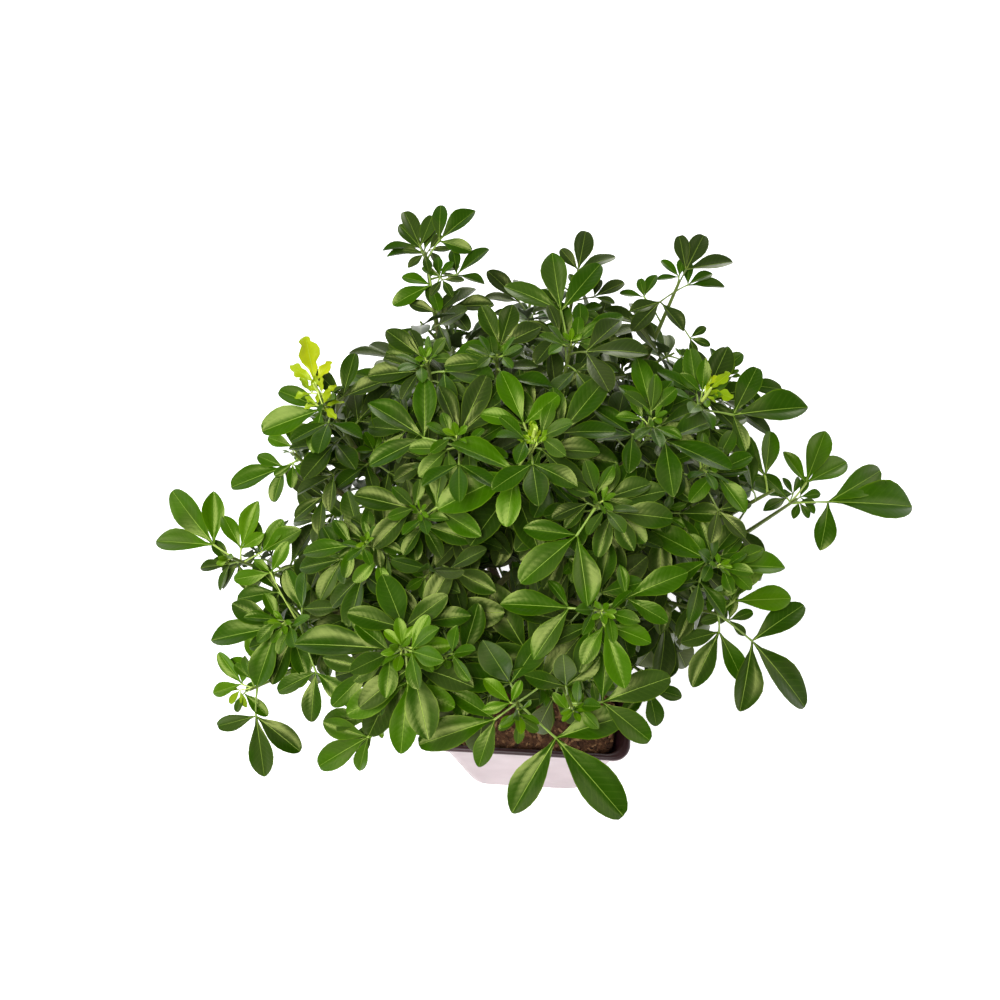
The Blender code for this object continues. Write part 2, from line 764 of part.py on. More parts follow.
def leaf_solid(leaf, extra=0.0, from_root=0.0):
    """Points and faces of a whole leaf as one sheet with thickness: stalk, joint and three leaflets."""
    right, middle, left = [reach.normalized() for reach in leaf.reaches]
    stalk = (leaf.joint - leaf.root).normalized()
    side = square_to(leaf.normal.cross(middle), stalk)
    root = leaf.root.lerp(leaf.joint, from_root)
    sheet = []
    ways = [turned(right, leaf.normal, -40), right + middle, middle + left, turned(left, leaf.normal, 40)]
    for way in ways:
        sheet.append((leaf.joint + way.normalized() * JOINT_RADIUS, leaf.normal, 1.5 * MM))
    for sign in (-1, 1):
        sheet.append((root + side * sign * STALK_WIDTH / 2, stalk.cross(side), 1.8 * MM))
    triangles = [(0, 1, 2), (0, 2, 3), (4, 0, 3), (4, 3, 5)]
    border = [4, 0]
    for k, frame in enumerate(leaflet_frames(leaf)):
        first = len(sheet)
        for u, v in ((0.36, -1), (0.76, -1), (1.0, 0), (0.76, 1), (0.36, 1)):
            sheet.append((blade_point(frame, u, v), frame[3], BLADE))
        ring = [k] + list(range(first, first + 5)) + [k + 1]
        triangles += [tuple(ring[i] for i in corners) for corners in BLADE_TRIANGLES]
        border += ring[1:]
    border.append(5)
    count = len(sheet)
    points = [p + n * (t + extra) / 2 for p, n, t in sheet] + [p - n * (t + extra) / 2 for p, n, t in sheet]
    faces = triangles + [(c + count, b + count, a + count) for a, b, c in triangles]
    for a, b in zip(border, border[1:] + border[:1]):
        faces.append((b, a, a + count))
        faces.append((b, a + count, b + count))
    return points, faces


class Room:
    """What stands in the crown so far, for testing whether a new leaf is clear of it."""

    def __init__(self):
        self.taken = []

    def add(self, points, faces):
        self.taken.append((*self.box(points), BVHTree.FromPolygons(points, faces)))

    def box(self, points):
        low = Vector([min(p[i] for p in points) for i in range(3)])
        high = Vector([max(p[i] for p in points) for i in range(3)])
        return low, high

    def clear(self, points, faces):
        low, high = self.box(points)
        tree = BVHTree.FromPolygons(points, faces)
        for other_low, other_high, other in self.taken:
            apart = any(low[i] > other_high[i] or high[i] < other_low[i] for i in range(3))
            if not apart and tree.overlap(other):
                return False
        return low.z > 4 * MM


# Ways to move a leaf clear of its neighbours, mildest first: push, sway, rise and shrink
BENDS = [(push, 0, 0, 1.0) for push in (0, 4, -4, 8, -8, 12, -12, 16, -16, 22, -22, 28)]
BENDS += [(push, 0, 0, 0.9) for push in (0, 6, -6, 14, -14, 22, 30, 38)]
for reach in (0.5, 1, 2, 3):
    for sway, rise in ((0, 1), (1, 0), (-1, 0), (0, -1), (1, 1), (-1, 1)):
        BENDS.append((0, sway * 13 * reach, rise * 11 * reach, 1 - 0.05 * reach))


def grow_leaves(shoot, room):
    """The leaves that fit on a shoot, each in the mildest bend that keeps it clear."""
    grown = []
    for given in shoot.leaves:
        wanted = seen_leaf(shoot, given) if len(given) == 4 else paired_leaf(shoot, given)
        for bend in BENDS:
            leaf = bent(wanted, shoot, *bend)
            if room.clear(*leaf_solid(leaf, CLEARANCE, 0.35)):
                room.add(*leaf_solid(leaf))
                grown.append(leaf)
                break
    return grown


# Young growth


def young_blade(base, ahead, normal, length):
    """One small upright blade as a closed sheet, with its foot sunk in the stub."""
    frame = (base, ahead, normal.cross(ahead), normal, length)
    sheet = [base - frame[2] * 0.6 * MM]
    sheet += [blade_point(frame, u, v) for u, v in ((0.36, -1), (0.76, -1), (1.0, 0), (0.76, 1), (0.36, 1))]
    sheet.append(base + frame[2] * 0.6 * MM)
    thick = normal * BLADE / 2
    count = len(sheet)
    points = [p + thick for p in sheet] + [p - thick for p in sheet]
    faces = list(BLADE_TRIANGLES) + [(c + count, b + count, a + count) for a, b, c in BLADE_TRIANGLES]
    for i in range(7):
        j = (i + 1) % 7
        faces.append((j, i, i + count))
        faces.append((j, i + count, j + count))
    return points, faces


def young_parts(shoot, longest):
    """The stub above a shoot's tip and the small blades round it."""
    axis = axis_of(shoot)
    right, back = axes_round(axis)
    foot = tip_of(shoot) + axis * SEAT_GAP
    parts = [tube([foot, foot + axis * YOUNG_STUB], [1.2 * MM, 0.8 * MM], 5, axis, axis)]
    for k in range(YOUNG_BLADES):
        around = math.radians(100 + 137 * k)
        out = right * math.cos(around) + back * math.sin(around)
        lean = math.radians(46 - 6 * k)
        ahead = axis * math.cos(lean) + out * math.sin(lean)
        base = foot + axis * (3.5 * MM + 1.9 * MM * k)
        normal = axis * math.sin(lean) - out * math.cos(lean)
        parts.append(young_blade(base, ahead, normal, longest * MM * (1 - 0.07 * k)))
    return parts


# Everything together


def fused(name, parts, finish):
    """One solid from several that are sunk in the first."""
    made = solid(name, *parts[0], finish)
    combine(made, [solid(name + "_part", *part) for part in parts[1:]], "UNION", "MANIFOLD")
    made.data.materials.clear()
    made.data.materials.append(finish)
    return made


def build_wood(limbs, branches, finish):
    """Trunk, limbs, leader and branches, grown together."""
    fork = fork_place()
    foot = Vector((0, 0, SOIL_TOP - TRUNK_HOLE_DEPTH + SEAT_GAP))
    collar = Vector((0, 0, SOIL_TOP + 3 * MM))
    trunk = [foot, collar, fork + UP * 2 * MM]
    parts = [tube(trunk, [TRUNK_RADIUS, TRUNK_RADIUS, 6.5 * MM], 8, UP, UP)]
    for path in limbs:
        parts.append(tube(path, tapered(LIMB_RADII, len(path)), 5))
    for shoot, path in zip(SHOOTS, branches):
        parts.append(tube(path, tapered(BRANCH_RADII, len(path)), 4, last=axis_of(shoot)))
    fused("wood", parts, finish)
    return parts


def build_shoots(room, leaf_finish, young_finish):
    """Each leafy shoot, with its leaves clear of all that stands already, and the bright tips."""
    stems = {}
    for shoot in SHOOTS:
        axis = axis_of(shoot)
        path = [tip_of(shoot) - axis * SHOOT_LENGTH, tip_of(shoot)]
        stems[shoot.name] = tube(path, SHOOT_RADII, 5, axis, axis)
        room.add(*stems[shoot.name])
    named = {shoot.name: shoot for shoot in SHOOTS}
    for name, longest in YOUNG_TIPS:
        parts = young_parts(named[name], longest)
        for part in parts:
            room.add(*part)
        fused("young_" + name, parts, young_finish)
    for shoot in SHOOTS:
        parts = [stems[shoot.name]] + [leaf_solid(leaf) for leaf in grow_leaves(shoot, room)]
        fused("shoot_" + shoot.name, parts, leaf_finish)


def main():
    for old in list(bpy.data.objects):
        bpy.data.objects.remove(old)
    build_pot(material("pot_plastic", (0.62, 0.52, 0.54), 0.45))
    build_soil(material("peat", (0.07, 0.03, 0.018), 0.95))
    label = solid("plant_label", *label_box(0.0), material("label_plastic", (0.75, 0.78, 0.72), 0.4))
    limbs = limb_paths()
    branches = [branch_path(shoot, limbs) for shoot in SHOOTS]
    wood = build_wood(limbs, branches, material("bark", (0.17, 0.13, 0.05), 0.75))
    room = Room()
    for thing in (bpy.data.objects["pot"], bpy.data.objects["root_ball"], label):
        room.add([v.co for v in thing.data.vertices], [tuple(p.vertices) for p in thing.data.polygons])
    for part in wood:
        room.add(*part)
    leaf_finish = material("leaf", (0.035, 0.12, 0.01), 0.35)
    build_shoots(room, leaf_finish, material("young_leaf", (0.42, 0.55, 0.02), 0.4))


main()
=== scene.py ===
"""The looks of a potted Mexican orange: fine foliage, bark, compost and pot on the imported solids."""

import json
import math
import random
from collections import namedtuple

import bmesh
import bpy
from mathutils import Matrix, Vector, kdtree, noise
from mathutils.bvhtree import BVHTree

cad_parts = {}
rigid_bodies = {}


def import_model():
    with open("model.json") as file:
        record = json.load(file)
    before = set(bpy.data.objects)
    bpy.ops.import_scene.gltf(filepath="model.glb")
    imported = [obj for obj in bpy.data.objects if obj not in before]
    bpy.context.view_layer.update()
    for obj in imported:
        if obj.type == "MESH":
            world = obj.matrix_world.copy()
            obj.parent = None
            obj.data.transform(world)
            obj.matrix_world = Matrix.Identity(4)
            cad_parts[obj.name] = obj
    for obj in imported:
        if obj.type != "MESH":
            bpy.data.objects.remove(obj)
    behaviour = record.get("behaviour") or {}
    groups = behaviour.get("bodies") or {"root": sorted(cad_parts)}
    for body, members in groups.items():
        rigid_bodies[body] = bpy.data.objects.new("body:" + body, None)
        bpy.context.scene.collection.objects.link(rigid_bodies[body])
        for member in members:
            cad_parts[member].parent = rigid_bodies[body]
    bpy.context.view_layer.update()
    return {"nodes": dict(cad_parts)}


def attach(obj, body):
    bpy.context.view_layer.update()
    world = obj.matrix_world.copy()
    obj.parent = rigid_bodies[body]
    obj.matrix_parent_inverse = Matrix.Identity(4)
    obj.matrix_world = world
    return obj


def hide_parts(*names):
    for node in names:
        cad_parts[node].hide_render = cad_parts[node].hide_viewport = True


MM = 0.001
UP = Vector((0.0, 0.0, 1.0))

# The pot and the compost, with the measures of the solids. Halves are half widths.
POT_HEIGHT = 145 * MM
BASE_HALF = 60 * MM
RIM_HALF = 85 * MM
CORNER_RADIUS = 15 * MM
WALL = 1.6 * MM
LIP_WIDTH = 4.5 * MM
LIP_HEIGHT = 6 * MM
FLOOR = 2.4 * MM
DRAIN_RADIUS = 5 * MM
DRAIN_OFFSET = 34 * MM
SOIL_TOP = 131 * MM
SOIL_SHOULDER = 10 * MM
SOIL_SLACK = 5 * MM
SOIL_MEETS = 42 * MM  # depth below its top at which the compost reaches the pot's wall
CLOD = 2.6 * MM
SEAT_GAP = 0.3 * MM  # air between pieces that rest on each other

# The wood, laid out as in the solids. Radii run from a stem's foot to its tip.
TRUNK_RADII = (9.5 * MM, 8.5 * MM, 7.6 * MM, 6.5 * MM)
LIMB_RADII = (5.2 * MM, 3.0 * MM)
BRANCH_RADII = (2.5 * MM, 1.9 * MM)
FORK = Vector((-4 * MM, 6 * MM, SOIL_TOP + 16 * MM))  # where the trunk parts into its limbs
LIMB_BEARINGS = (18, 70, 128, 182, 232, 282, 332)
LIMB_REACH = 60 * MM
LIMB_TOP = 325 * MM
LEADER_TOP = 385 * MM
CLIMB_COST = 1.6  # dislike of a branch that has to run down to its shoot

# The crown and its shoots, laid out as in the solids
CROWN_CENTRE = Vector((-32, 45, 330)) * MM
CROWN_RADII = Vector((245, 205, 185)) * MM
SHOOT_LENGTH = 58 * MM
SHOOT_RADII = (1.9 * MM, 1.1 * MM)
YOUNG_STUB = 15 * MM
YOUNG_RADII = (1.3 * MM, 1.1 * MM, 0.7 * MM)

# The leaves. Spreads are the least and greatest angles between a middle and a side leaflet.
LEAFLET_LENGTHS = (15 * MM, 80 * MM)
SPREADS = (42, 92)
SEEN_SPREADS = (26, 112)
YOUNG_SPREADS = (20, 70)
USUAL_SPREAD = 58
SIDE_SHARE = 0.9  # a side leaflet's length, of the middle one's
WIDTH_SHARE = 0.43  # a leaflet's width, of its length
ARCH_SHARE = 0.10  # the rise of a leaflet's bow, of its length
BLADE = 0.8 * MM  # thickness of the solids' leaflets
BLADE_THICK = 0.022  # thickness of a fine leaflet at its midrib, of its length
LEAF_FACING = (0.7, 0.4, 0.9)  # how far a seen leaf faces out of the crown, up, and to the eye
LEAF_DROP = 10  # mm from a shoot's tip down to the plane that the joints of its seen leaves lie in
ROOT_DROPS = range(4, 40, 3)  # mm below the tip at which the stalk of a seen leaf may start
STALK_COST = 8  # dislike of a long stalk, per metre
STALK_RADII = (1.15, 0.75, 0.7, 0.95, 0.5)  # mm, of a large leaf's stalk from its root to past its joint
SEEN_LOOSE = 0.2  # how freely chance turns a leaf that the photograph shows
LEAF_KINDS = 6  # leaflet forms for grown leaves; the forms after them are ruffled young ones

# The crossed pairs of a shoot whose leaves aren't read off the view, the lower pair first. Each row is the
# pair's angle to the stem in degrees, the share of the usual length, the stalk's length, of its leaflet's,
# and the mm below the tip.
PAIR_ROWS = ((68, 1.0, 0.48, 34), (48, 0.8, 0.38, 13))

# The border of the crown's dense mass in the view, within which the finer growth stays
CROWN_BORDER = [
    (395, 335), (440, 320), (425, 290), (430, 262), (455, 262), (478, 290), (500, 290), (545, 290),
    (545, 262), (590, 265), (600, 290), (640, 300), (622, 335), (650, 345), (700, 350), (740, 350),
    (745, 375), (780, 395), (745, 420), (720, 430), (755, 440), (765, 475), (735, 500), (745, 530),
    (720, 520), (725, 560), (760, 545), (780, 568), (755, 590), (725, 620), (690, 640), (670, 665),
    (665, 690), (655, 720), (630, 735), (560, 725), (480, 755), (425, 745), (425, 720), (400, 730),
    (375, 745), (355, 725), (345, 690), (300, 680), (262, 690), (230, 660), (220, 635), (250, 610),
    (235, 600), (250, 580), (205, 565), (240, 545), (280, 520), (330, 515), (300, 500), (300, 480),
    (270, 465), (290, 440), (285, 415), (330, 395), (360, 380), (385, 370), (380, 345),
]

# Finer growth that the solids leave out. Each row is two leaves that face each other: their turn round
# the stem and their angle to it in degrees, the share of the usual length, the mm below the tip, and the
# tint, which is added to the twig's own in the twigs' rows.
TIP_ROWS = (
    (90, 15, 0.24, 1.0, 1.1), (0, 38, 0.48, 5, 0.55), (90, 58, 0.72, 20, 0.3), (45, 76, 0.9, 47, 0.1),
)
TWIG_ROWS = ((0, 62, 1.0, 14, 0.0), (90, 46, 0.8, 5, 0.0), (0, 24, 0.4, 1, 0.5))
FILL_STALK = 0.36  # a stalk's length, of its leaflets'
LEAST_SIZE = 30  # mm of a leaflet, the least that a shoot's finer growth is sized by
TWIG_LENGTH = 34 * MM
TWIG_RADII = (1.3 * MM, 1.05 * MM, 0.8 * MM)
TWIG_FOOT = 6  # mm of a twig that may stand in its branch
GOLDEN_ANGLE = 137.5
LIMB_SHARES = (0.45, 0.6, 0.75, 0.9, 1.0)  # where twigs stand along a limb, of its length
BRANCH_SHARES = (0.35, 0.6, 0.85)
FILL_CLEARANCE = 0.8 * MM
LEAST_HEIGHT = 4 * MM  # of the finer growth, above the floor
FILL_SEED = 7

# The photograph's view, in which the crown is laid out
VIEW_TURN = 3.5  # degrees to the left of straight ahead
VIEW_DOWN = 56.5  # degrees below level
VIEW_CENTRE = Vector((-33, 54.5, 319)) * MM
VIEW_DISTANCE = 940 * MM
VIEW_LENS = 1200  # distance of the view's plane from the eye, in the view's own units
VIEW_MIDDLE = 500

Shoot = namedtuple("Shoot", "name place height lift leaves")
Sprig = namedtuple("Sprig", "tip axis")
Leaf = namedtuple("Leaf", "root joint normal reaches")
draw = random.Random(20)  # the same chance as in the part's source


def pairs(roll, size, count):
    """Leaves in crossed pairs: way round, angle, leaflet, drop, stalk and spread, in degrees and mm."""
    leaves = []
    for number in range(count):
        upper = number // 2
        angle, share, stalk, drop = PAIR_ROWS[upper]
        around = roll + 90 * upper + 180 * (number % 2) + draw.uniform(-12, 12)
        lean = angle + draw.uniform(-8, 8)
        length = size * share * draw.uniform(0.93, 1.07)
        leaves.append((around, lean, length, drop, length * stalk, draw.uniform(52, 62)))
    return leaves


# Each shoot's tip by its place in the view and its height in mm. Lift turns the shoot up from the
# crown's outward normal. A leaf that is seen is four places in the view: its joint, and the tips of its
# right, middle and left leaflets, as seen from the joint, with None for a tip that is hidden. Any other
# leaf is six numbers, as in pairs, where the way round a shoot is 0 to the right and 90 to the back.
SHOOTS = (
    Shoot("front_low", (518, 709), 380, 0.5, (
        ((556, 738), (512, 813), (624, 815), (627, 716)),
        ((495, 719), (450, 692), (419, 746), (479, 767)),
        ((511, 703), (521, 681), (484, 679), (483, 710)),
        ((538, 688), (590, 671), (579, 637), (532, 640)),
    )),
    Shoot("right_far", (797, 499), 345, 1.5, (
        ((828, 502), (822, 535), (918, 506), (880, 470)),
        ((806, 483), (848, 462), (826, 431), (783, 451)),
        ((787, 498), (761, 478), (740, 481), (763, 511)),
    )),
    Shoot("right_low", (722, 615), 345, 0.7, (
        ((752, 641), (741, 712), (804, 707), (804, 605)),
        ((719, 632), (680, 643), (692, 688), (742, 681)),
        ((734, 601), (791, 598), None, (716, 576)),
    )),
    Shoot("left_far", (232, 558), 340, 1.5, (
        ((214, 545), (213, 491), (173, 490), (155, 541)),
        ((241, 549), (264, 533), (259, 501), (223, 516)),
        ((230, 564), None, (200, 568), (220, 591)),
        ((262, 552), (301, 527), (284, 519), None),
    )),
    Shoot("left_low", (250, 690), 240, 0.9, (
        ((256, 716), (218, 727), (265, 777), (300, 752)),
        ((242, 684), (246, 662), (219, 652), (213, 693)),
        ((260, 668), (298, 651), (250, 630), (229, 660)),
    )),
    Shoot("back_left_tall", (425, 252), 510, 0.5, (
        ((439, 241), (472, 251), (476, 211), (440, 205)),
        ((420, 247), (433, 216), (404, 212), (382, 250)),
        ((457, 275), (485, 285), (489, 249), (453, 249)),
        ((431, 285), (402, 277), (393, 306), (439, 311)),
    )),
    Shoot("back_right_tall", (680, 280), 488, 0.5, (
        ((686, 270), (733, 262), (704, 235), (679, 236)),
        ((688, 285), (725, 287), (713, 274), None),
        ((660, 302), (630, 313), (631, 331), (684, 331)),
        ((644, 297), (656, 275), (640, 279), (619, 294)),
    )),
    Shoot("left_bright", (322, 397), 465, 0.8, (
        ((322, 409), (279, 390), (262, 432), (313, 453)),
        ((343, 397), (384, 381), (355, 353), None),
    )),
    Shoot("right_bright", (702, 401), 480, 0.8, (
        ((733, 415), (739, 433), (808, 407), (757, 368)),
        ((697, 395), (690, 349), (657, 372), (656, 412)),
        ((704, 398), None, (749, 389), (728, 348)),
    )),
    Shoot("middle_bright", (533, 440), 508, 0.6, (
        ((516, 471), (452, 444), (439, 510), (506, 526)),
        ((541, 449), (527, 486), (585, 495), (600, 452)),
        ((524, 424), (559, 395), (500, 371), (480, 414)),
        ((561, 433), (617, 432), (607, 378), (553, 387)),
    )),
    Shoot("front_middle", (599, 503), 485, 0.5, (
        ((577, 535), (523, 529), (521, 584), (588, 606)),
        ((612, 512), (598, 557), (634, 551), (673, 518)),
        ((605, 499), (637, 510), (652, 484), (617, 463)),
        ((588, 503), None, (552, 518), (564, 527)),
    )),
    Shoot("front_right", (601, 611), 440, 0.5, (
        ((604, 625), (582, 664), (626, 688), (651, 643)),
        ((626, 598), (668, 622), (688, 573), (621, 574)),
        ((569, 608), (548, 580), (500, 605), None),
    )),
    Shoot("front_left", (402, 649), 412, 0.6, (
        ((408, 682), (347, 715), (401, 754), (455, 707)),
        ((388, 649), (358, 621), (294, 645), (363, 672)),
        ((421, 623), (471, 615), (450, 568), (397, 589)),
        ((411, 648), (432, 672), (451, 645), None),
        ((370, 668), None, (332, 707), None),
    )),
    Shoot("front_edge", (572, 708), 384, 0.5, (((602, 702), (649, 741), (670, 677), (606, 648)),)),
    Shoot("back_middle", (574, 290), 500, 0.5, (
        ((578, 270), None, (585, 231), (561, 249)),
        ((594, 297), (611, 302), (624, 282), (600, 281)),
    )),
    Shoot("top_middle", (571, 345), 508, 0.6, (
        ((561, 311), (600, 264), (552, 253), (504, 286)),
        ((581, 336), (625, 352), (623, 316), (580, 303)),
        ((560, 334), (548, 306), (515, 330), None),
        (-10, 58, 40, 10, 12, 60),
    )),
    Shoot(
        "left_hanging", (380, 722), 238, 0.8,
        (((368, 737), (323, 722), (318, 766), (359, 771)), (168, 58, 42, 8, 10, 55)),
    ),
    Shoot("left_dark", (293, 453), 420, 0.8, (
        ((284, 467), (257, 456), (231, 488), (273, 502)),
        ((293, 447), (310, 428), None, (268, 437)),
        ((293, 464), None, (291, 488), None),
    )),
    Shoot("right_back", (774, 490), 415, 0.8, (((765, 476), (770, 431), (728, 431), (738, 478)),)),
    Shoot("top_left", (457, 440), 505, 0.6, (
        ((448, 449), (409, 448), (419, 477), (450, 481)),
        ((424, 438), None, (367, 404), None),
        ((459, 435), (500, 401), (487, 376), (438, 386)),
        (-20, 56, 30, 10, 9, 58),
    )),
    Shoot("top_right", (652, 420), 498, 0.6, (
        ((651, 410), (672, 380), (638, 357), (619, 386)),
        ((643, 419), None, (616, 416), (640, 441)),
        (-30, 60, 46, 20, 16, 58),
    )),
    Shoot("top_back_left", (427, 362), 505, 0.6, (
        ((420, 371), (382, 362), (368, 377), (402, 400)),
        ((423, 358), (404, 333), (386, 330), None),
        (-20, 58, 40, 12, 14, 58),
    )),
    Shoot("top_back", (497, 356), 515, 0.6, (
        ((500, 346), (541, 326), (512, 304), (481, 306)),
        ((494, 362), None, (466, 350), (445, 366)),
        (-60, 58, 38, 12, 12, 58),
    )),
    Shoot("left_shoulder", (367, 543), 455, 0.7, (
        ((352, 546), (333, 520), (303, 553), (345, 578)),
        ((378, 559), None, (353, 582), None),
        ((373, 541), None, (405, 530), None),
    )),
    Shoot("left_side", (286, 622), 372, 0.8, (
        ((277, 627), (232, 603), (211, 641), None),
        ((279, 592), None, (237, 599), None),
        ((271, 573), (288, 542), (254, 560), (234, 580)),
    )),
    Shoot("right_shoulder", (706, 466), 470, 0.7, (
        ((715, 472), (689, 502), (745, 513), (752, 456)),
        ((698, 453), (705, 424), (655, 421), (672, 462)),
        ((715, 463), None, (733, 431), (709, 440)),
        ((718, 510), None, (746, 538), None),
    )),
    Shoot("right_side", (717, 566), 420, 0.7, (
        ((726, 566), (751, 590), (785, 568), (764, 549)),
        ((719, 561), None, (742, 537), (711, 550)),
        ((708, 560), (689, 534), (652, 530), None),
    )),
    Shoot("middle_left", (420, 513), 468, 0.6, (
        ((423, 525), (403, 555), (441, 558), (473, 541)),
        ((412, 509), (408, 487), (354, 496), None),
        (30, 58, 40, 12, 12, 58),
    )),
    Shoot(
        "lower_middle", (446, 656), 402, 0.5,
        (((462, 657), (485, 685), (532, 658), (478, 603)), (140, 58, 40, 12, 14, 58)),
    ),
    Shoot("back_shoulder_left", (402, 372), 435, 0.7, pairs(150, 44, 3)),
    Shoot("back_shoulder_right", (728, 378), 442, 0.7, (
        ((744, 385), None, (782, 389), (757, 368)),
        ((721, 373), (743, 354), (728, 346), (710, 348)),
        (-60, 62, 36, 22, 16, 58),
    )),
    Shoot("back_low_left", (410, 350), 385, 0.8, pairs(130, 46, 3)),
    Shoot("back_low", (530, 300), 400, 0.8, pairs(75, 48, 3)),
    Shoot("back_low_right", (680, 360), 370, 0.8, pairs(40, 46, 3)),
    Shoot("side_low_left", (306, 638), 330, 0.9, (
        ((305, 623), (320, 592), (304, 580), (281, 603)),
        ((331, 625), (349, 606), (328, 581), None),
        (200, 60, 40, 24, 16, 58),
    )),
    Shoot("side_low_right", (688, 618), 270, 0.9, (*pairs(-40, 50, 2), ((664, 648), None, (671, 669), None))),
    Shoot("back_skirt_left", (450, 420), 290, 0.9, pairs(110, 48, 3)),
    Shoot("back_skirt_right", (630, 430), 280, 0.9, pairs(60, 48, 2)),
    Shoot("back_skirt_side", (362, 404), 392, 0.9, (
        ((364, 419), (338, 453), (366, 465), (404, 432)),
        (170, 62, 38, 16, 14, 58),
        (60, 60, 38, 26, 18, 58),
    )),
    Shoot("right_skirt_back", (690, 505), 300, 0.9, pairs(15, 48, 2)),
    Shoot("right_skirt", (650, 680), 265, 0.9, (((648, 688), None, (656, 726), None),)),
    Shoot("left_skirt", (452, 694), 275, 0.9, pairs(250, 46, 3)),
)


# Small leaves that the solids leave out: their shoot, tint, and marks in the view
SMALL_LEAVES = (
    ("front_edge", 1.1, (567, 710), (580, 690), (568, 688), (555, 696)),
    ("left_side", 0.4, (316, 672), None, (312, 722), None),
    ("back_left_tall", 0.5, (424, 252), None, (399, 224), None),
    ("back_left_tall", 0.1, (424, 254), None, (410, 266), None),
    ("back_left_tall", 0.0, (429, 250), None, (446, 250), None),
    ("back_left_tall", 0.5, (440, 277), (450, 266), (438, 257), (426, 270)),
    ("back_left_tall", 0.0, (442, 279), None, (449, 291), None),
    ("back_right_tall", 0.5, (679, 277), None, (661, 260), None),
    ("back_right_tall", 0.1, (690, 338), None, (708, 345), None),
    ("right_far", 0.5, (799, 502), None, (809, 518), None),
    ("right_far", 0.6, (800, 497), None, (821, 493), None),
    ("right_far", 0.5, (793, 494), None, (783, 479), None),
    ("left_dark", 0.1, (334, 475), None, (297, 495), None),
    ("front_low", 0.8, (519, 718), None, (518, 744), None),
    ("front_left", 1.1, (402, 646), (412, 628), (398, 618), (388, 634)),
    ("left_low", 0.6, (244, 693), (236, 712), (268, 716), (256, 682)),
    ("left_low", 1.5, (240, 690), None, (230, 703), None),
    ("left_far", 0.2, (238, 563), None, (222, 589), None),
    ("right_low", 0.6, (731, 602), None, (717, 577), None),
    ("right_low", 0.5, (724, 616), None, (706, 596), None),
    ("right_low", 0.4, (729, 620), None, (753, 612), None),
    ("back_left_tall", 0.1, (437, 313), None, (428, 286), (409, 304)),
    ("left_side", 0.9, (284, 626), None, (276, 636), None),
)


# Paler leaves of the shoots, by their numbers: partly younger leaves, partly a painted highlight where a leaf
# catches the light
PALE_LEAVES = {
    "front_low": (2,), "left_low": (1, 2), "right_far": (1,), "left_shoulder": (1,), "front_left": (3,),
    "left_far": (1,), "side_low_left": (0,), "right_low": (2,),
}

# The young growth: shoot, tint, and marks in the view
YOUNG_SIZES = (5 * MM, 45 * MM)
YOUNG_LEAVES = (
    ("left_bright", 1.75, (315, 382), (332, 361), (303, 337), (289, 365)),
    ("left_bright", 1.6, (312, 393), None, (299, 379), None),
    ("left_bright", 1.65, (322, 394), None, (323, 376), None),
    ("left_bright", 1.5, (323, 406), None, (344, 400), None),
    ("left_bright", 1.5, (317, 405), None, (306, 396), None),
    ("right_bright", 1.7, (705, 388), (718, 377), (709, 357), (699, 371)),
    ("right_bright", 1.45, (709, 390), None, (730, 373), None),
    ("right_bright", 1.5, (706, 395), None, (719, 391), None),
    ("middle_bright", 1.5, (535, 440), (541, 430), (535, 426), (527, 430)),
    ("middle_bright", 1.4, (532, 441), None, (524, 435), None),
    ("middle_bright", 1.3, (537, 444), None, (531, 421), None),
)


def turned(v, axis, degrees):
    """The vector turned about an axis."""
    a = math.radians(degrees)
    return v * math.cos(a) + axis.cross(v) * math.sin(a) + axis * axis.dot(v) * (1 - math.cos(a))


def square_to(v, axis):
    """The unit part of v that is square to a unit axis."""
    return (v - axis * v.dot(axis)).normalized()


def curve(start, start_pull, end_pull, end, steps):
    """Points along a cubic curve between two places and the two handles that pull it."""
    found = []
    for i in range(steps + 1):
        t = i / steps
        s = 1 - t
        found.append(start * s**3 + start_pull * 3 * s * s * t + end_pull * 3 * s * t * t + end * t**3)
    return found


def tapered(ends, count):
    """Evenly changing radii between two ends."""
    return [ends[0] + (ends[1] - ends[0]) * i / (count - 1) for i in range(count)]


# Where the wood, the shoots and the leaves run


def sight_line(place):
    """The eye, and the direction from it through a place in the view."""
    turn, down = math.radians(VIEW_TURN), math.radians(VIEW_DOWN)
    right = Vector((math.cos(turn), math.sin(turn), 0.0))
    level = Vector((-math.sin(turn), math.cos(turn), 0.0))
    ahead = level * math.cos(down) - UP * math.sin(down)
    above = level * math.sin(down) + UP * math.cos(down)
    way = ahead * VIEW_LENS + right * (place[0] - VIEW_MIDDLE) + above * (VIEW_MIDDLE - place[1])
    return VIEW_CENTRE - ahead * VIEW_DISTANCE, way.normalized()


def seen_on(place, point, face):
    """Where the sight line through a place in the view meets the plane through a point."""
    eye, way = sight_line(place)
    return eye + way * ((point - eye).dot(face) / way.dot(face))


def in_view(point):
    """The place in the view at which a point is seen."""
    eye, ahead = sight_line((VIEW_MIDDLE, VIEW_MIDDLE))
    right = ahead.cross(UP).normalized()
    above = right.cross(ahead)
    way = point - eye
    deep = VIEW_LENS / way.dot(ahead)
    return VIEW_MIDDLE + way.dot(right) * deep, VIEW_MIDDLE - way.dot(above) * deep


def tip_of(shoot):
    """The place of a shoot's tip."""
    return seen_on(shoot.place, UP * shoot.height * MM, UP)


def outward(point):
    """The crown's outward normal at a point."""
    away = point - CROWN_CENTRE
    return Vector([away[i] / CROWN_RADII[i] ** 2 for i in range(3)]).normalized()


def axis_of(shoot):
    """The direction that a shoot grows in: out of the crown, turned up by its lift."""
    return (outward(tip_of(shoot)) + UP * shoot.lift).normalized()


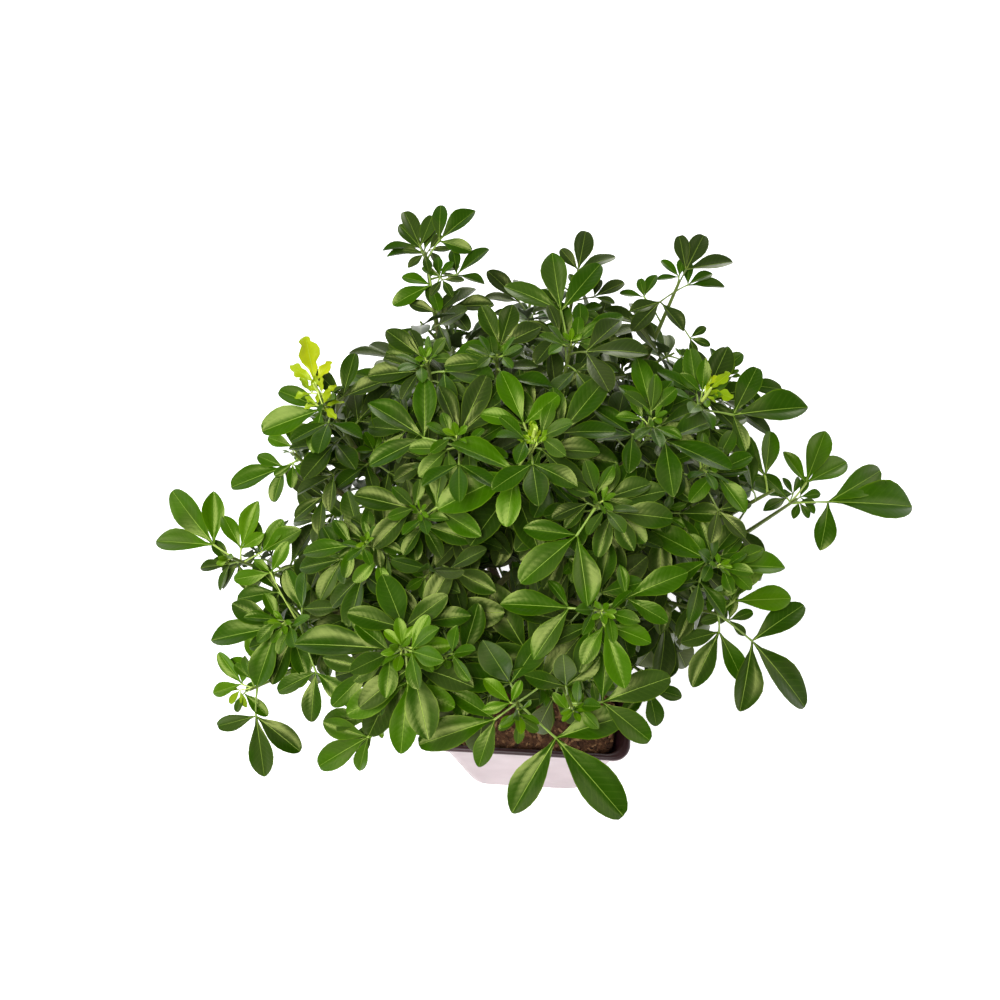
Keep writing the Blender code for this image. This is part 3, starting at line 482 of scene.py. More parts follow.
def limb_paths():
    """The limbs' centre lines, from the fork out and up, with the leader in the middle."""
    paths = []
    # Each leaves the fork at a slant and ends upright
    for bearing in LIMB_BEARINGS:
        angle = math.radians(bearing)
        out = Vector((math.cos(angle), math.sin(angle), 0.0))
        head = Vector((CROWN_CENTRE.x, CROWN_CENTRE.y, LIMB_TOP)) + out * LIMB_REACH
        pull = FORK + out * 34 * MM + UP * 40 * MM
        paths.append(curve(FORK, pull, head - UP * 70 * MM + out * 6 * MM, head, 5))
    top = Vector((CROWN_CENTRE.x, CROWN_CENTRE.y - 10 * MM, LEADER_TOP))
    paths.append(curve(FORK, FORK + UP * 80 * MM, top - UP * 90 * MM, top, 5))
    return paths


def branch_path(shoot, limbs, steps):
    """The centre line of the branch that carries a shoot, from the nearest good place on a limb."""
    axis = axis_of(shoot)
    seat = tip_of(shoot) - axis * (SHOOT_LENGTH + SEAT_GAP)
    best = None
    for path in limbs:
        for i in range(2, len(path)):
            place = path[i]
            cost = (place - seat).length + CLIMB_COST * max(0.0, place.z + 20 * MM - seat.z)
            if best is None or cost < best[0]:
                best = (cost, place, (path[i] - path[i - 1]).normalized())
    start, along = best[1], best[2]
    # It leaves the limb at an angle and runs into the shoot in line with it
    span = (seat - start).length
    out = square_to(seat - start, along) if span > 1 * MM else along
    pull = start + (along * 0.5 + out * 0.7).normalized() * span * 0.35
    return curve(start, pull, seat - axis * span * 0.35, seat, steps)


def axes_round(axis):
    """Two directions square to a shoot's axis: right and back, as seen from the front."""
    back = square_to(Vector((0.0, 0.9, 0.4)), axis)
    return back.cross(axis), back


def sprig_of(shoot):
    """The tip and the axis of a shoot."""
    return Sprig(tip_of(shoot), axis_of(shoot))


def from_eye(point):
    """The direction in which a point is seen."""
    return (point - sight_line((0, 0))[0]).normalized()


def fan(ahead, normal, lengths, spreads, droop=0.0):
    """The reaches of three leaflets, from the joint to their tips, from right to left."""
    reaches = []
    for turn, length in zip((-spreads[0], 0, spreads[1]), lengths):
        reaches.append((turned(ahead, normal, turn) - normal * droop).normalized() * length)
    return reaches


def seen_leaf(sprig, marks, sizes=LEAFLET_LENGTHS, angles=SPREADS):
    """A leaf from its marks in the view, in a plane that faces out of the crown, up and to the front."""
    joint_mark, *tip_marks = marks
    tip, axis = sprig
    away = from_eye(tip)
    outer, upper, nearer = LEAF_FACING
    face = (outward(tip) * outer + UP * upper - away * nearer).normalized()
    joint = seen_on(joint_mark, tip - axis * LEAF_DROP * MM, face)
    right, middle, left = [mark and seen_on(mark, joint, face) - joint for mark in tip_marks]
    if middle is None:
        middle = (right.normalized() + left.normalized()).normalized() * max(right.length, left.length)
    shortest, longest = sizes
    length = min(max(middle.length, shortest), longest)
    lengths, spreads = [], []
    for side in (right, left):
        wanted = side.length if side else length * SIDE_SHARE
        lengths.append(min(max(wanted, shortest, length * 0.5), longest))
        spread = math.degrees(middle.angle(side)) if side else USUAL_SPREAD
        spreads.append(min(max(spread, angles[0]), angles[1]))
    lengths.insert(1, length)
    ahead = middle.normalized()
    roots = [tip - axis * drop * MM for drop in ROOT_DROPS]
    stalks = [joint - root for root in roots]
    merits = [stalk.normalized().dot(ahead) - STALK_COST * stalk.length for stalk in stalks]
    root = roots[merits.index(max(merits))]
    return Leaf(root, joint, face, fan(ahead, face, lengths, spreads))


def paired_leaf(sprig, sizes):
    """A leaf of a crossed pair, from its sizes."""
    around, angle, length, drop, stalk, spread = sizes
    tip, axis = sprig
    right, back = axes_round(axis)
    out = right * math.cos(math.radians(around)) + back * math.sin(math.radians(around))
    lean = math.radians(angle)
    stalk_way = axis * math.cos(lean) + out * math.sin(lean)
    root = tip - axis * drop * MM
    joint = root + stalk_way * stalk * MM
    ahead = (stalk_way - axis * 0.10 - UP * 0.06).normalized()
    normal = square_to(square_to(axis, ahead) + UP * 0.35, ahead)
    lengths = [length * share * MM for share in (SIDE_SHARE, 1.0, SIDE_SHARE)]
    return Leaf(root, joint, normal, fan(ahead, normal, lengths, (spread, spread), 0.15))


def bent(leaf, sprig, push, sway, rise, shrink):
    """The leaf moved a little out of the way: back by push in mm, and swung round its shoot by sway
    and up towards the tip by rise in degrees."""
    stalk = leaf.joint - leaf.root
    hinge = square_to(stalk, sprig.axis).cross(sprig.axis)
    moved = [turned(turned(v, hinge, rise), sprig.axis, sway) for v in (stalk, leaf.normal, *leaf.reaches)]
    stalk, normal, *reaches = moved
    joint = leaf.root + stalk + from_eye(sprig.tip) * push * MM
    return Leaf(leaf.root, joint, normal, [reach * shrink for reach in reaches])


def leaflet_frames(leaf):
    """Base, direction, side, normal and length of the leaf's three leaflets, from right to left."""
    frames = []
    for reach in leaf.reaches:
        ahead = reach.normalized()
        normal = square_to(leaf.normal, ahead)
        frames.append((leaf.joint, ahead, normal.cross(ahead), normal, reach.length))
    return frames


# Ways to move a leaf clear of its neighbours, mildest first: push, sway, rise and shrink
BENDS = [(push, 0, 0, 1.0) for push in (0, 4, -4, 8, -8, 12, -12, 16, -16, 22, -22, 28)]
BENDS += [(push, 0, 0, 0.9) for push in (0, 6, -6, 14, -14, 22, 30, 38)]
for reach in (0.5, 1, 2, 3):
    for sway, rise in ((0, 1), (1, 0), (-1, 0), (0, -1), (1, 1), (-1, 1)):
        BENDS.append((0, sway * 13 * reach, rise * 11 * reach, 1 - 0.05 * reach))


def solid_leaves(shoot, mesh):
    """The leaves that the shoot's solid has, each in the bend that its leaflet tips show, but with the
    leaflets spread just as they are seen."""
    tree = kdtree.KDTree(len(mesh.vertices))
    for i, vertex in enumerate(mesh.vertices):
        tree.insert(vertex.co, i)
    tree.balance()
    found = []
    sprig = sprig_of(shoot)
    for given in shoot.leaves:
        wanted = seen_leaf(sprig, given) if len(given) == 4 else paired_leaf(sprig, given)
        for bend in BENDS:
            leaf = bent(wanted, sprig, *bend)
            frames = leaflet_frames(leaf)
            tips = [base + ahead * long + normal * BLADE / 2 for base, ahead, _, normal, long in frames]
            if max(tree.find(tip)[2] for tip in tips) < 0.1 * MM:
                if len(given) == 4:
                    leaf = bent(seen_leaf(sprig, given, angles=SEEN_SPREADS), sprig, *bend)
                found.append(leaf)
                break
    return found


# Room for the finer growth


class Room:
    """What stands in the crown so far, for testing whether new growth is clear of it."""

    def __init__(self):
        self.taken = []

    def add(self, points, faces):
        """Takes a surface's room."""
        self.taken.append((*self.box(points), BVHTree.FromPolygons(points, faces)))

    def box(self, points):
        """The lowest and highest corner of the box round some points."""
        low = Vector([min(p[i] for p in points) for i in range(3)])
        high = Vector([max(p[i] for p in points) for i in range(3)])
        return low, high

    def clear(self, points, faces):
        """Whether a surface is clear of all that stands here and of the floor."""
        low, high = self.box(points)
        tree = BVHTree.FromPolygons(points, faces)
        for other_low, other_high, other in self.taken:
            if low.x > other_high.x or low.y > other_high.y or low.z > other_high.z:
                continue
            if high.x < other_low.x or high.y < other_low.y or high.z < other_low.z:
                continue
            if tree.overlap(other):
                return False
        return low.z > LEAST_HEIGHT


def leaf_sheet(leaf, thick, from_root):
    """A leaf as a coarse closed sheet, for testing what it touches."""
    side = leaf.normal.cross(leaf.reaches[1]).normalized()
    root = leaf.root.lerp(leaf.joint, from_root)
    sheet = [root - side * MM, root + side * MM, leaf.joint + side * MM, leaf.joint - side * MM]
    faces = [(0, 1, 2, 3)]
    for base, ahead, across, normal, length in leaflet_frames(leaf):
        first = len(sheet)
        half = across * length * WIDTH_SHARE * 0.46
        bow = normal * length * ARCH_SHARE
        sheet += [base - across * MM, base + across * MM]
        for share in (0.4, 0.8):
            middle = base + ahead * length * share
            rise = bow * round(share * (1 - share), 2)
            sheet += [middle + half + rise, middle - half + rise]
        sheet.append(base + ahead * length)
        corners = ((0, 1, 2, 3), (3, 2, 4, 5), (5, 4, 6))
        faces += [tuple(first + i for i in corner) for corner in corners]
    count = len(sheet)
    lift = leaf.normal * thick / 2
    points = [p + lift for p in sheet] + [p - lift for p in sheet]
    return points, faces + [tuple(count + i for i in face) for face in faces]


def stem_box(start, end, radius):
    """A four-sided rod, for testing what a stem touches."""
    axis = (end - start).normalized()
    right, back = axes_round(axis)
    corners = (right, back, -right, -back)
    points = [start + c * radius for c in corners] + [end + c * radius for c in corners]
    return points, [(i, (i + 1) % 4, 4 + (i + 1) % 4, 4 + i) for i in range(4)]


# Plans: what Geometry Nodes grow foliage and wood from


class Plan:
    """Points that leaflets grow from, and lines that stems and stalks grow along."""

    vectors = ("along", "face", "size")
    numbers = ("radius", "tint")

    def __init__(self):
        self.points = []
        self.edges = []
        self.kinds = []
        self.values = {name: [] for name in self.vectors + self.numbers}

    def point(self, place, kind=-1, along=UP, face=UP, size=(1, 1, 1), radius=1.0, tint=0.0):
        """Adds one point. A kind below 0 is for a point of a line, which no leaflet grows from."""
        self.points.append(place)
        self.kinds.append(kind)
        for name, value in zip(self.vectors + self.numbers, (along, face, size, radius, tint)):
            self.values[name].append(value)

    def line(self, path, radii, tint):
        """Adds a stem's points and the edges between them."""
        first = len(self.points)
        for place, radius in zip(path, radii):
            self.point(place, radius=radius, tint=tint)
        self.edges += [(first + i, first + i + 1) for i in range(len(path) - 1)]

    def take(self, other):
        """Adds all of another plan to this one."""
        first = len(self.points)
        self.points += other.points
        self.kinds += other.kinds
        self.edges += [(a + first, b + first) for a, b in other.edges]
        for name, values in other.values.items():
            self.values[name] += values

    def mesh(self, name):
        """The plan as a mesh of points and edges that carry its values."""
        made = bpy.data.meshes.new(name)
        made.from_pydata([tuple(p) for p in self.points], self.edges, [])
        for label in self.vectors:
            flat = [c for value in self.values[label] for c in value]
            made.attributes.new(label, "FLOAT_VECTOR", "POINT").data.foreach_set("vector", flat)
        for label in self.numbers:
            made.attributes.new(label, "FLOAT", "POINT").data.foreach_set("value", self.values[label])
        made.attributes.new("kind", "INT", "POINT").data.foreach_set("value", self.kinds)
        return made


def plan_leaf(plan, leaf, tint, pick, loose=1.0, young=False):
    """Adds a leaf's stalk and its three leaflets to a plan, each turned by chance as far as it is loose."""
    # The stalk bows a little and runs on into the middle leaflet
    span = leaf.joint - leaf.root
    bow = leaf.normal * span.length * 0.05
    path = [leaf.root, leaf.root.lerp(leaf.joint, 0.35) + bow, leaf.root.lerp(leaf.joint, 0.7) + bow]
    path += [leaf.joint, leaf.joint + leaf.reaches[1].normalized() * 1.2 * MM]
    scale = 0.55 + 0.45 * min(1.0, leaf.reaches[1].length / (50 * MM))
    plan.line(path, [radius * MM * scale for radius in STALK_RADII], min(1.0, 0.35 + tint * 0.5))
    for base, ahead, across, normal, length in leaflet_frames(leaf):
        kind = LEAF_KINDS + pick.randrange(3) if young else pick.randrange(LEAF_KINDS)
        ahead = turned(ahead, normal, loose * pick.uniform(-5, 5))
        ahead = turned(ahead, across, loose * pick.uniform(-6, 7))
        face = turned(square_to(normal * 0.6 + UP * 0.7, ahead), ahead, pick.uniform(-19, 19))
        width = length * WIDTH_SHARE * pick.uniform(0.9, 1.08)
        plan.point(base, kind, ahead, face, (length, width, length), 1.0, tint + pick.uniform(-0.12, 0.12))


# Nodes, and the tree that grows foliage and wood


def feed(tree, node, inputs):
    """Gives a node's inputs what they take: a value, another node's output, or a node with just one."""
    for name, value in dict(inputs).items():
        if isinstance(value, bpy.types.Node):
            value = next(output for output in value.outputs if output.enabled)
        if isinstance(value, bpy.types.NodeSocket):
            tree.links.new(value, node.inputs[name])
        else:
            node.inputs[name].default_value = value


def add(tree, kind, settings=(), inputs=()):
    """Adds a node to a tree, with its settings and with what its inputs take."""
    made = tree.nodes.new(kind)
    for name, value in dict(settings).items():
        setattr(made, name, value)
    feed(tree, made, inputs)
    return made


# Settings that many nodes share
PLUS = {"operation": "ADD"}
MINUS = {"operation": "SUBTRACT"}
TIMES = {"operation": "MULTIPLY"}
TIMES_PLUS = {"operation": "MULTIPLY_ADD"}
EASED = {"interpolation_type": "SMOOTHSTEP"}
COLOURS = {"data_type": "RGBA"}
VECTORS = {"data_type": "FLOAT_VECTOR"}
NUMBERS = {"data_type": "FLOAT"}


def new_group(name, inputs):
    """An empty Geometry Nodes tree with named inputs of given kinds, and the outputs that bring them in."""
    tree = bpy.data.node_groups.new(name, "GeometryNodeTree")
    for label, kind in inputs:
        tree.interface.new_socket(label, in_out="INPUT", socket_type="NodeSocket" + kind)
    tree.interface.new_socket("Geometry", in_out="OUTPUT", socket_type="NodeSocketGeometry")
    return tree, add(tree, "NodeGroupInput").outputs


def growth_tree():
    """Geometry Nodes that set a leaflet on each leaflet point and run a round stem along each line."""
    inputs = (
        ("Geometry", "Geometry"), ("Leaflets", "Collection"), ("Stem Sides", "Int"),
        ("Leaf Finish", "Material"), ("Stem Finish", "Material"),
    )
    tree, given = new_group("Growth", inputs)
    kind = add(tree, "GeometryNodeInputNamedAttribute", {"data_type": "INT"}, {"Name": "kind"})
    along = add(tree, "GeometryNodeInputNamedAttribute", VECTORS, {"Name": "along"})
    face = add(tree, "GeometryNodeInputNamedAttribute", VECTORS, {"Name": "face"})
    size = add(tree, "GeometryNodeInputNamedAttribute", VECTORS, {"Name": "size"})
    radius = add(tree, "GeometryNodeInputNamedAttribute", NUMBERS, {"Name": "radius"})

    # A leaflet stands on each point whose kind is 0 or more
    grown = add(
        tree, "FunctionNodeCompare", {"data_type": "INT", "operation": "GREATER_EQUAL"}, {2: kind, 3: 0},
    )
    parted = add(
        tree, "GeometryNodeSeparateGeometry", {"domain": "POINT"},
        {"Geometry": given["Geometry"], "Selection": grown},
    )
    turn = add(
        tree, "FunctionNodeAxesToRotation", {"primary_axis": "X", "secondary_axis": "Z"}, {0: along, 1: face},
    )
    forms = add(
        tree, "GeometryNodeCollectionInfo", (),
        {"Collection": given["Leaflets"], "Separate Children": True, "Reset Children": True},
    )
    leaflets = add(
        tree, "GeometryNodeInstanceOnPoints", (),
        {
            "Points": parted.outputs[0], "Instance": forms, "Pick Instance": True, "Instance Index": kind,
            "Rotation": turn, "Scale": size,
        },
    )
    leaflets = add(tree, "GeometryNodeRealizeInstances", (), {0: leaflets})
    leaflets = add(tree, "GeometryNodeSetMaterial", (), {0: leaflets, "Material": given["Leaf Finish"]})

    # A round stem follows each line of the rest
    lines = add(tree, "GeometryNodeMeshToCurve", (), {0: parted.outputs[1]})
    ring = add(
        tree, "GeometryNodeCurvePrimitiveCircle", {"mode": "RADIUS"},
        {"Resolution": given["Stem Sides"], "Radius": 1.0},
    )
    stems = add(
        tree, "GeometryNodeCurveToMesh", (),
        {"Curve": lines, "Profile Curve": ring, "Scale": radius, "Fill Caps": True},
    )
    stems = add(tree, "GeometryNodeSetShadeSmooth", (), {0: stems})
    stems = add(tree, "GeometryNodeSetMaterial", (), {0: stems, "Material": given["Stem Finish"]})
    joined = add(tree, "GeometryNodeJoinGeometry", (), {0: stems})
    feed(tree, joined, {0: leaflets})
    add(tree, "NodeGroupOutput", (), {0: joined})
    return tree


def grown_by(name, mesh, tree, values):
    """A plain mesh object that a Geometry Nodes tree makes of a mesh, with its inputs set by their names."""
    made = bpy.data.objects.new(name, mesh)
    bpy.context.scene.collection.objects.link(made)
    modifier = made.modifiers.new(tree.name, "NODES")
    modifier.node_group = tree
    for socket in tree.interface.items_tree:
        if socket.in_out == "INPUT" and socket.name in values:
            modifier[socket.identifier] = values[socket.name]
    graph = bpy.context.evaluated_depsgraph_get()
    final = bpy.data.meshes.new_from_object(made.evaluated_get(graph))
    made.modifiers.clear()
    made.data = final
    return made


def grow(name, plan, tree, values):
    """A piece grown from a plan, without the plan's own attributes."""
    made = grown_by(name, plan.mesh(name), tree, values)
    for label in ("along", "face", "size", "radius", "kind"):
        if label in made.data.attributes:
            made.data.attributes.remove(made.data.attributes[label])
    return made


# Leaflet forms, one unit long, that the points carry


def fine_width(u, point):
    """Half width of a leaflet along its length: a narrow wedge at the base, and a round or pointed tip."""
    return 0.5 * math.sin(math.pi * min(u, 1.0) ** 1.42) ** (1.05 - (0.6 - point) * u)


def leaflet_form(name, fold, arch, wave, phase, twist, point, ragged=0.0):
    """One leaflet as a closed blade: top and underside meet in a thin margin, thicker along the midrib.

    Fold is in degrees. Arch, wave and twist are shares of the length. Point and ragged run from 0 to 1.
    """
    rows = (0.0, 0.13, 0.27, 0.41, 0.54, 0.66, 0.77, 0.86, 0.93, 0.98)
    columns = (-1.0, -0.5, 0.0, 0.5, 1.0)
    work = bmesh.new()
    uv = work.loops.layers.uv.new("UVMap")
    edge = work.verts.layers.float.new("edge")
    under = work.faces.layers.float.new("under")
    slope = math.tan(math.radians(fold))
    flat = {}

    def place(u, v, drop):
        bite = ragged * max(0.0, math.sin(15 * u + 3 * phase + (2.0 if v > 0 else 0.0)))
        half = max(fine_width(u, point) * (1 - bite), 0.025)
        bow = abs(v) * (1.35 - 0.7 * abs(v)) * half * WIDTH_SHARE * slope
        ripple = wave * v * v * math.sin(9 * u + phase + (1.6 if v > 0 else 0.0))
        made = work.verts.new((u, v * half, bow + arch * u * (1 - u) + ripple + twist * u * v * half - drop))
        made[edge] = abs(v)
        flat[made] = (u, 0.5 + v * half * WIDTH_SHARE)
        return made

    top, low = [], []
    for u in rows:
        top.append([place(u, v, 0.004 if v == 0 else 0.0) for v in columns])
        low.append([top[-1][0], place(u, 0.0, BLADE_THICK * (1 - 0.5 * u)), top[-1][-1]])
    tip = work.verts.new((1.0, 0.0, 0.0))
    tip[edge] = 1.0
    flat[tip] = (1.0, 0.5)
    for side, sheet in ((0.0, top), (1.0, low)):
        last = len(sheet[0]) - 1
        faces = [[sheet[-1][k], tip, sheet[-1][k + 1]] for k in range(last)]
        for i in range(len(rows) - 1):
            for k in range(last):
                a, b, c, d = sheet[i][k], sheet[i + 1][k], sheet[i + 1][k + 1], sheet[i][k + 1]
                faces += ([a, b, c], [a, c, d]) if k < last / 2 else ([a, b, d], [b, c, d])
        for corners in faces:
            work.faces.new(corners if side else corners[::-1])[under] = side
    work.faces.new(top[0] + low[0][1:2])
    bmesh.ops.recalc_face_normals(work, faces=work.faces)
    for face in work.faces:
        face.smooth = True
        for loop in face.loops:
            loop[uv].uv = flat[loop.vert]
    for line in work.edges:
        line.smooth = not all(v[edge] == 1.0 for v in line.verts)
    mesh = bpy.data.meshes.new(name)
    work.to_mesh(mesh)
    work.free()
    return bpy.data.objects.new(name, mesh)


def leaflet_forms():
    """The leaflet forms by fold, arch, wave, phase, twist and point, and for young ones how ragged."""
    forms = bpy.data.collections.new("leaflet_forms")
    grown = (
        (30, 0.10, 0.008, 0.0, 0.0, 0.0), (36, 0.07, 0.012, 1.3, 0.08, 0.2),
        (22, 0.14, 0.010, 2.5, -0.08, 0.05), (40, 0.10, 0.014, 0.7, 0.05, 0.3),
        (33, 0.05, 0.012, 4.0, -0.12, 0.0), (26, 0.20, 0.012, 5.2, 0.10, 0.2),
    )
    young = (
        (34, 0.05, 0.030, 0.4, 0.1, 0.1, 0.5), (30, 0.12, 0.045, 2.2, -0.15, 0.3, 0.4),
        (28, -0.04, 0.05, 4.1, 0.2, 0.2, 0.5),
    )
    for i, form in enumerate(grown + young):
        forms.objects.link(leaflet_form("leaflet_%02d" % i, *form))
    return forms


# Finishes


def hex_colour(code):
    """An sRGB hex colour as linear red, green, blue and full alpha."""
    parts = [int(code[i:i + 2], 16) / 255 for i in (1, 3, 5)]
    return (*[c / 12.92 if c <= 0.04045 else ((c + 0.055) / 1.055) ** 2.4 for c in parts], 1.0)


def new_finish(name):
    """A new material, with its tree and its shader."""
    made = bpy.data.materials.new(name)
    made.use_nodes = True
    return made, made.node_tree, made.node_tree.nodes["Principled BSDF"]


def colour_by(stops, ramp):
    """Sets a colour ramp's stops, each a place and a hex colour, and gives the ramp back."""
    band = ramp.color_ramp
    while len(band.elements) < len(stops):
        band.elements.new(0.5)
    for element, (place, code) in zip(band.elements, stops):
        element.position = place
        element.color = hex_colour(code)
    return ramp


def leaf_finish():
    """A leathery blade: a waxy cuticle over green, a pale sunk midrib, faint side veins, a dull underside."""
    made, tree, shader = new_finish("leathery_leaf")
    where = add(tree, "ShaderNodeTexCoord").outputs["Object"]
    flat = add(tree, "ShaderNodeUVMap", {"uv_map": "UVMap"})
    along, side, _ = add(tree, "ShaderNodeSeparateXYZ", (), {0: flat}).outputs
    tint = add(tree, "ShaderNodeAttribute", {"attribute_name": "tint"}).outputs["Fac"]
    edge = add(tree, "ShaderNodeAttribute", {"attribute_name": "edge"}).outputs["Fac"]
    under = add(tree, "ShaderNodeAttribute", {"attribute_name": "under"}).outputs["Fac"]
    across = add(tree, "ShaderNodeMath", MINUS, {0: side, 1: 0.5})
    across = add(tree, "ShaderNodeMath", {"operation": "ABSOLUTE"}, {0: across})

    # A midrib about 0.6 mm wide at the base and 0.2 mm near the tip, of a leaflet about 50 mm long
    half = add(tree, "ShaderNodeMath", TIMES_PLUS, {0: along, 1: -0.004, 2: 0.0062})
    midrib = add(tree, "ShaderNodeMath", {"operation": "DIVIDE"}, {0: across, 1: half})
    midrib = add(tree, "ShaderNodeMapRange", EASED, {"Value": midrib, "From Min": 0.5, "From Max": 1.3})
    midrib = add(tree, "ShaderNodeMath", MINUS, {0: 1.0, 1: midrib})

    # Side veins about 5 mm apart, leaving the midrib at some 55 degrees and curving to the tip
    slant = add(tree, "ShaderNodeMath", TIMES, {0: across, 1: 0.75})
    swing = add(tree, "ShaderNodeMath", TIMES, {0: across, 1: across})
    swing = add(tree, "ShaderNodeMath", TIMES, {0: swing, 1: 1.2})
    climb = add(tree, "ShaderNodeMath", MINUS, {0: along, 1: slant})
    climb = add(tree, "ShaderNodeMath", MINUS, {0: climb, 1: swing})
    strand = add(tree, "ShaderNodeMath", TIMES, {0: climb, 1: 11.0})
    strand = add(tree, "ShaderNodeMath", {"operation": "FRACT"}, {0: strand})
    strand = add(tree, "ShaderNodeMath", MINUS, {0: strand, 1: 0.5})
    strand = add(tree, "ShaderNodeMath", {"operation": "ABSOLUTE"}, {0: strand})
    veins = add(tree, "ShaderNodeMapRange", EASED, {"Value": strand, "From Min": 0.03, "From Max": 0.14})
    veins = add(tree, "ShaderNodeMath", MINUS, {0: 1.0, 1: veins})
    inner = add(tree, "ShaderNodeMapRange", EASED, {"Value": edge, "From Min": 0.95, "From Max": 0.6})
    veins = add(tree, "ShaderNodeMath", TIMES, {0: veins, 1: inner})

    # From the dark green of old leaves to the yellow-green of young ones, with a mottle about 11 mm wide; the
    # grey-green first stop, on the darkest leaves, is a painted dull reflection
    mottle = add(
        tree, "ShaderNodeTexNoise", (),
        {"Vector": where, "Scale": 90.0, "Detail": 3.0, "Roughness": 0.6},
    )
    stain = add(tree, "ShaderNodeMath", TIMES_PLUS, {0: mottle, 1: 0.16, 2: -0.08})
    shade = add(tree, "ShaderNodeMath", TIMES, {0: tint, 1: 0.5})
    shade = add(tree, "ShaderNodeMath", PLUS, {0: shade, 1: stain})
    stops = (
        (0.0, "#22320F"), (0.06, "#1C3303"), (0.2, "#1F4000"), (0.48, "#3A6100"), (0.6, "#4A6F02"),
        (0.75, "#78900A"), (0.95, "#A4AC10"),
    )
    colour = colour_by(stops, add(tree, "ShaderNodeValToRGB", (), {0: shade}))

    # Patches of darker foliage with a painted grey sheen, about 40 mm across: grey mixed into the colour of
    # the darker leaves stands in for a dull reflection of the room
    patches = add(tree, "ShaderNodeTexNoise", (), {"Vector": where, "Scale": 24.0, "Detail": 1.0})
    painted_sheen = add(
        tree, "ShaderNodeMapRange", EASED,
        {"Value": patches, "From Min": 0.5, "From Max": 0.62, "To Min": 0.0, "To Max": 0.38},
    )
    dark = add(tree, "ShaderNodeMapRange", EASED, {"Value": shade, "From Min": 0.6, "From Max": 0.4})
    painted_sheen = add(tree, "ShaderNodeMath", TIMES, {0: painted_sheen, 1: dark})
    colour = add(tree, "ShaderNodeMix", COLOURS, {0: painted_sheen, 6: colour, 7: hex_colour("#39431F")})

    # Paler veins and margin, a dull underside, and the midrib on the upper side
    faint = add(tree, "ShaderNodeMath", TIMES, {0: veins, 1: 0.03})
    colour = add(tree, "ShaderNodeMix", COLOURS, {0: faint, 6: colour, 7: hex_colour("#8FB040")})
    margin = add(tree, "ShaderNodeMapRange", EASED, {"Value": edge, "From Min": 0.9, "From Max": 1.0})
    margin = add(tree, "ShaderNodeMath", TIMES, {0: margin, 1: 0.22})
    colour = add(tree, "ShaderNodeMix", COLOURS, {0: margin, 6: colour, 7: hex_colour("#86A81C")})
    below = add(tree, "ShaderNodeMix", COLOURS, {0: 0.5, 6: colour, 7: hex_colour("#566C3A")})
    pale = add(tree, "ShaderNodeMath", TIMES, {0: midrib, 1: 0.55})
    colour = add(tree, "ShaderNodeMix", COLOURS, {0: pale, 6: colour, 7: hex_colour("#9CBA48")})
    colour = add(tree, "ShaderNodeMix", COLOURS, {0: under, 6: colour, 7: below})
    dull = add(tree, "ShaderNodeMath", TIMES, {0: under, 1: 0.25})
    rough = add(tree, "ShaderNodeMath", TIMES_PLUS, {0: mottle, 1: 0.2, 2: 0.22})
    rough = add(tree, "ShaderNodeMath", PLUS, {0: rough, 1: dull})

    # The blade puffs up a little between its side veins, and its skin is finely pebbled
    puff = add(tree, "ShaderNodeMapRange", EASED, {"Value": strand, "From Min": 0.0, "From Max": 0.45})
    inner = add(tree, "ShaderNodeMapRange", EASED, {"Value": edge, "From Min": 1.0, "From Max": 0.7})
    puff = add(tree, "ShaderNodeMath", TIMES, {0: puff, 1: inner})
    puff = add(tree, "ShaderNodeMath", TIMES, {0: puff, 1: 0.2})
    pebbles = add(tree, "ShaderNodeTexNoise", (), {"Vector": where, "Scale": 420.0, "Detail": 2.0})
    pebbles = add(tree, "ShaderNodeMath", TIMES, {0: pebbles, 1: 0.3})
    height = add(tree, "ShaderNodeMath", MINUS, {0: puff, 1: midrib})
    height = add(tree, "ShaderNodeMath", PLUS, {0: height, 1: pebbles})
    bump = add(tree, "ShaderNodeBump", (), {"Strength": 0.35, "Distance": 0.35 * MM, "Height": height})
    sheen = {"IOR": 1.43, "Specular Tint": hex_colour("#EBF690")}
    feed(tree, shader, {"Base Color": colour, "Roughness": rough, "Normal": bump, **sheen})
    return made


def stem_finish():
    """Young green stems and leaf stalks: smooth and waxy, yellow-green, browner where they are older."""
    made, tree, shader = new_finish("green_stem")
    where = add(tree, "ShaderNodeTexCoord").outputs["Object"]
    tint = add(tree, "ShaderNodeAttribute", {"attribute_name": "tint"}).outputs["Fac"]
    # Fine spots about 1.5 mm apart
    spots = add(tree, "ShaderNodeTexNoise", (), {"Vector": where, "Scale": 700.0, "Detail": 2.0})
    shade = add(tree, "ShaderNodeMath", TIMES_PLUS, {0: spots, 1: 0.3, 2: -0.15})
    shade = add(tree, "ShaderNodeMath", PLUS, {0: tint, 1: shade})
    stops = ((0.0, "#4A4A26"), (0.3, "#5B6B2A"), (0.6, "#7E9A38"), (1.0, "#B9CC5E"))
    colour = colour_by(stops, add(tree, "ShaderNodeValToRGB", (), {0: shade}))
    rough = add(tree, "ShaderNodeMath", TIMES_PLUS, {0: spots, 1: 0.2, 2: 0.35})
    bump = add(tree, "ShaderNodeBump", (), {"Strength": 0.3, "Distance": 0.2 * MM, "Height": spots})
    feed(tree, shader, {"Base Color": colour, "Roughness": rough, "Normal": bump, "IOR": 1.45})
    return made


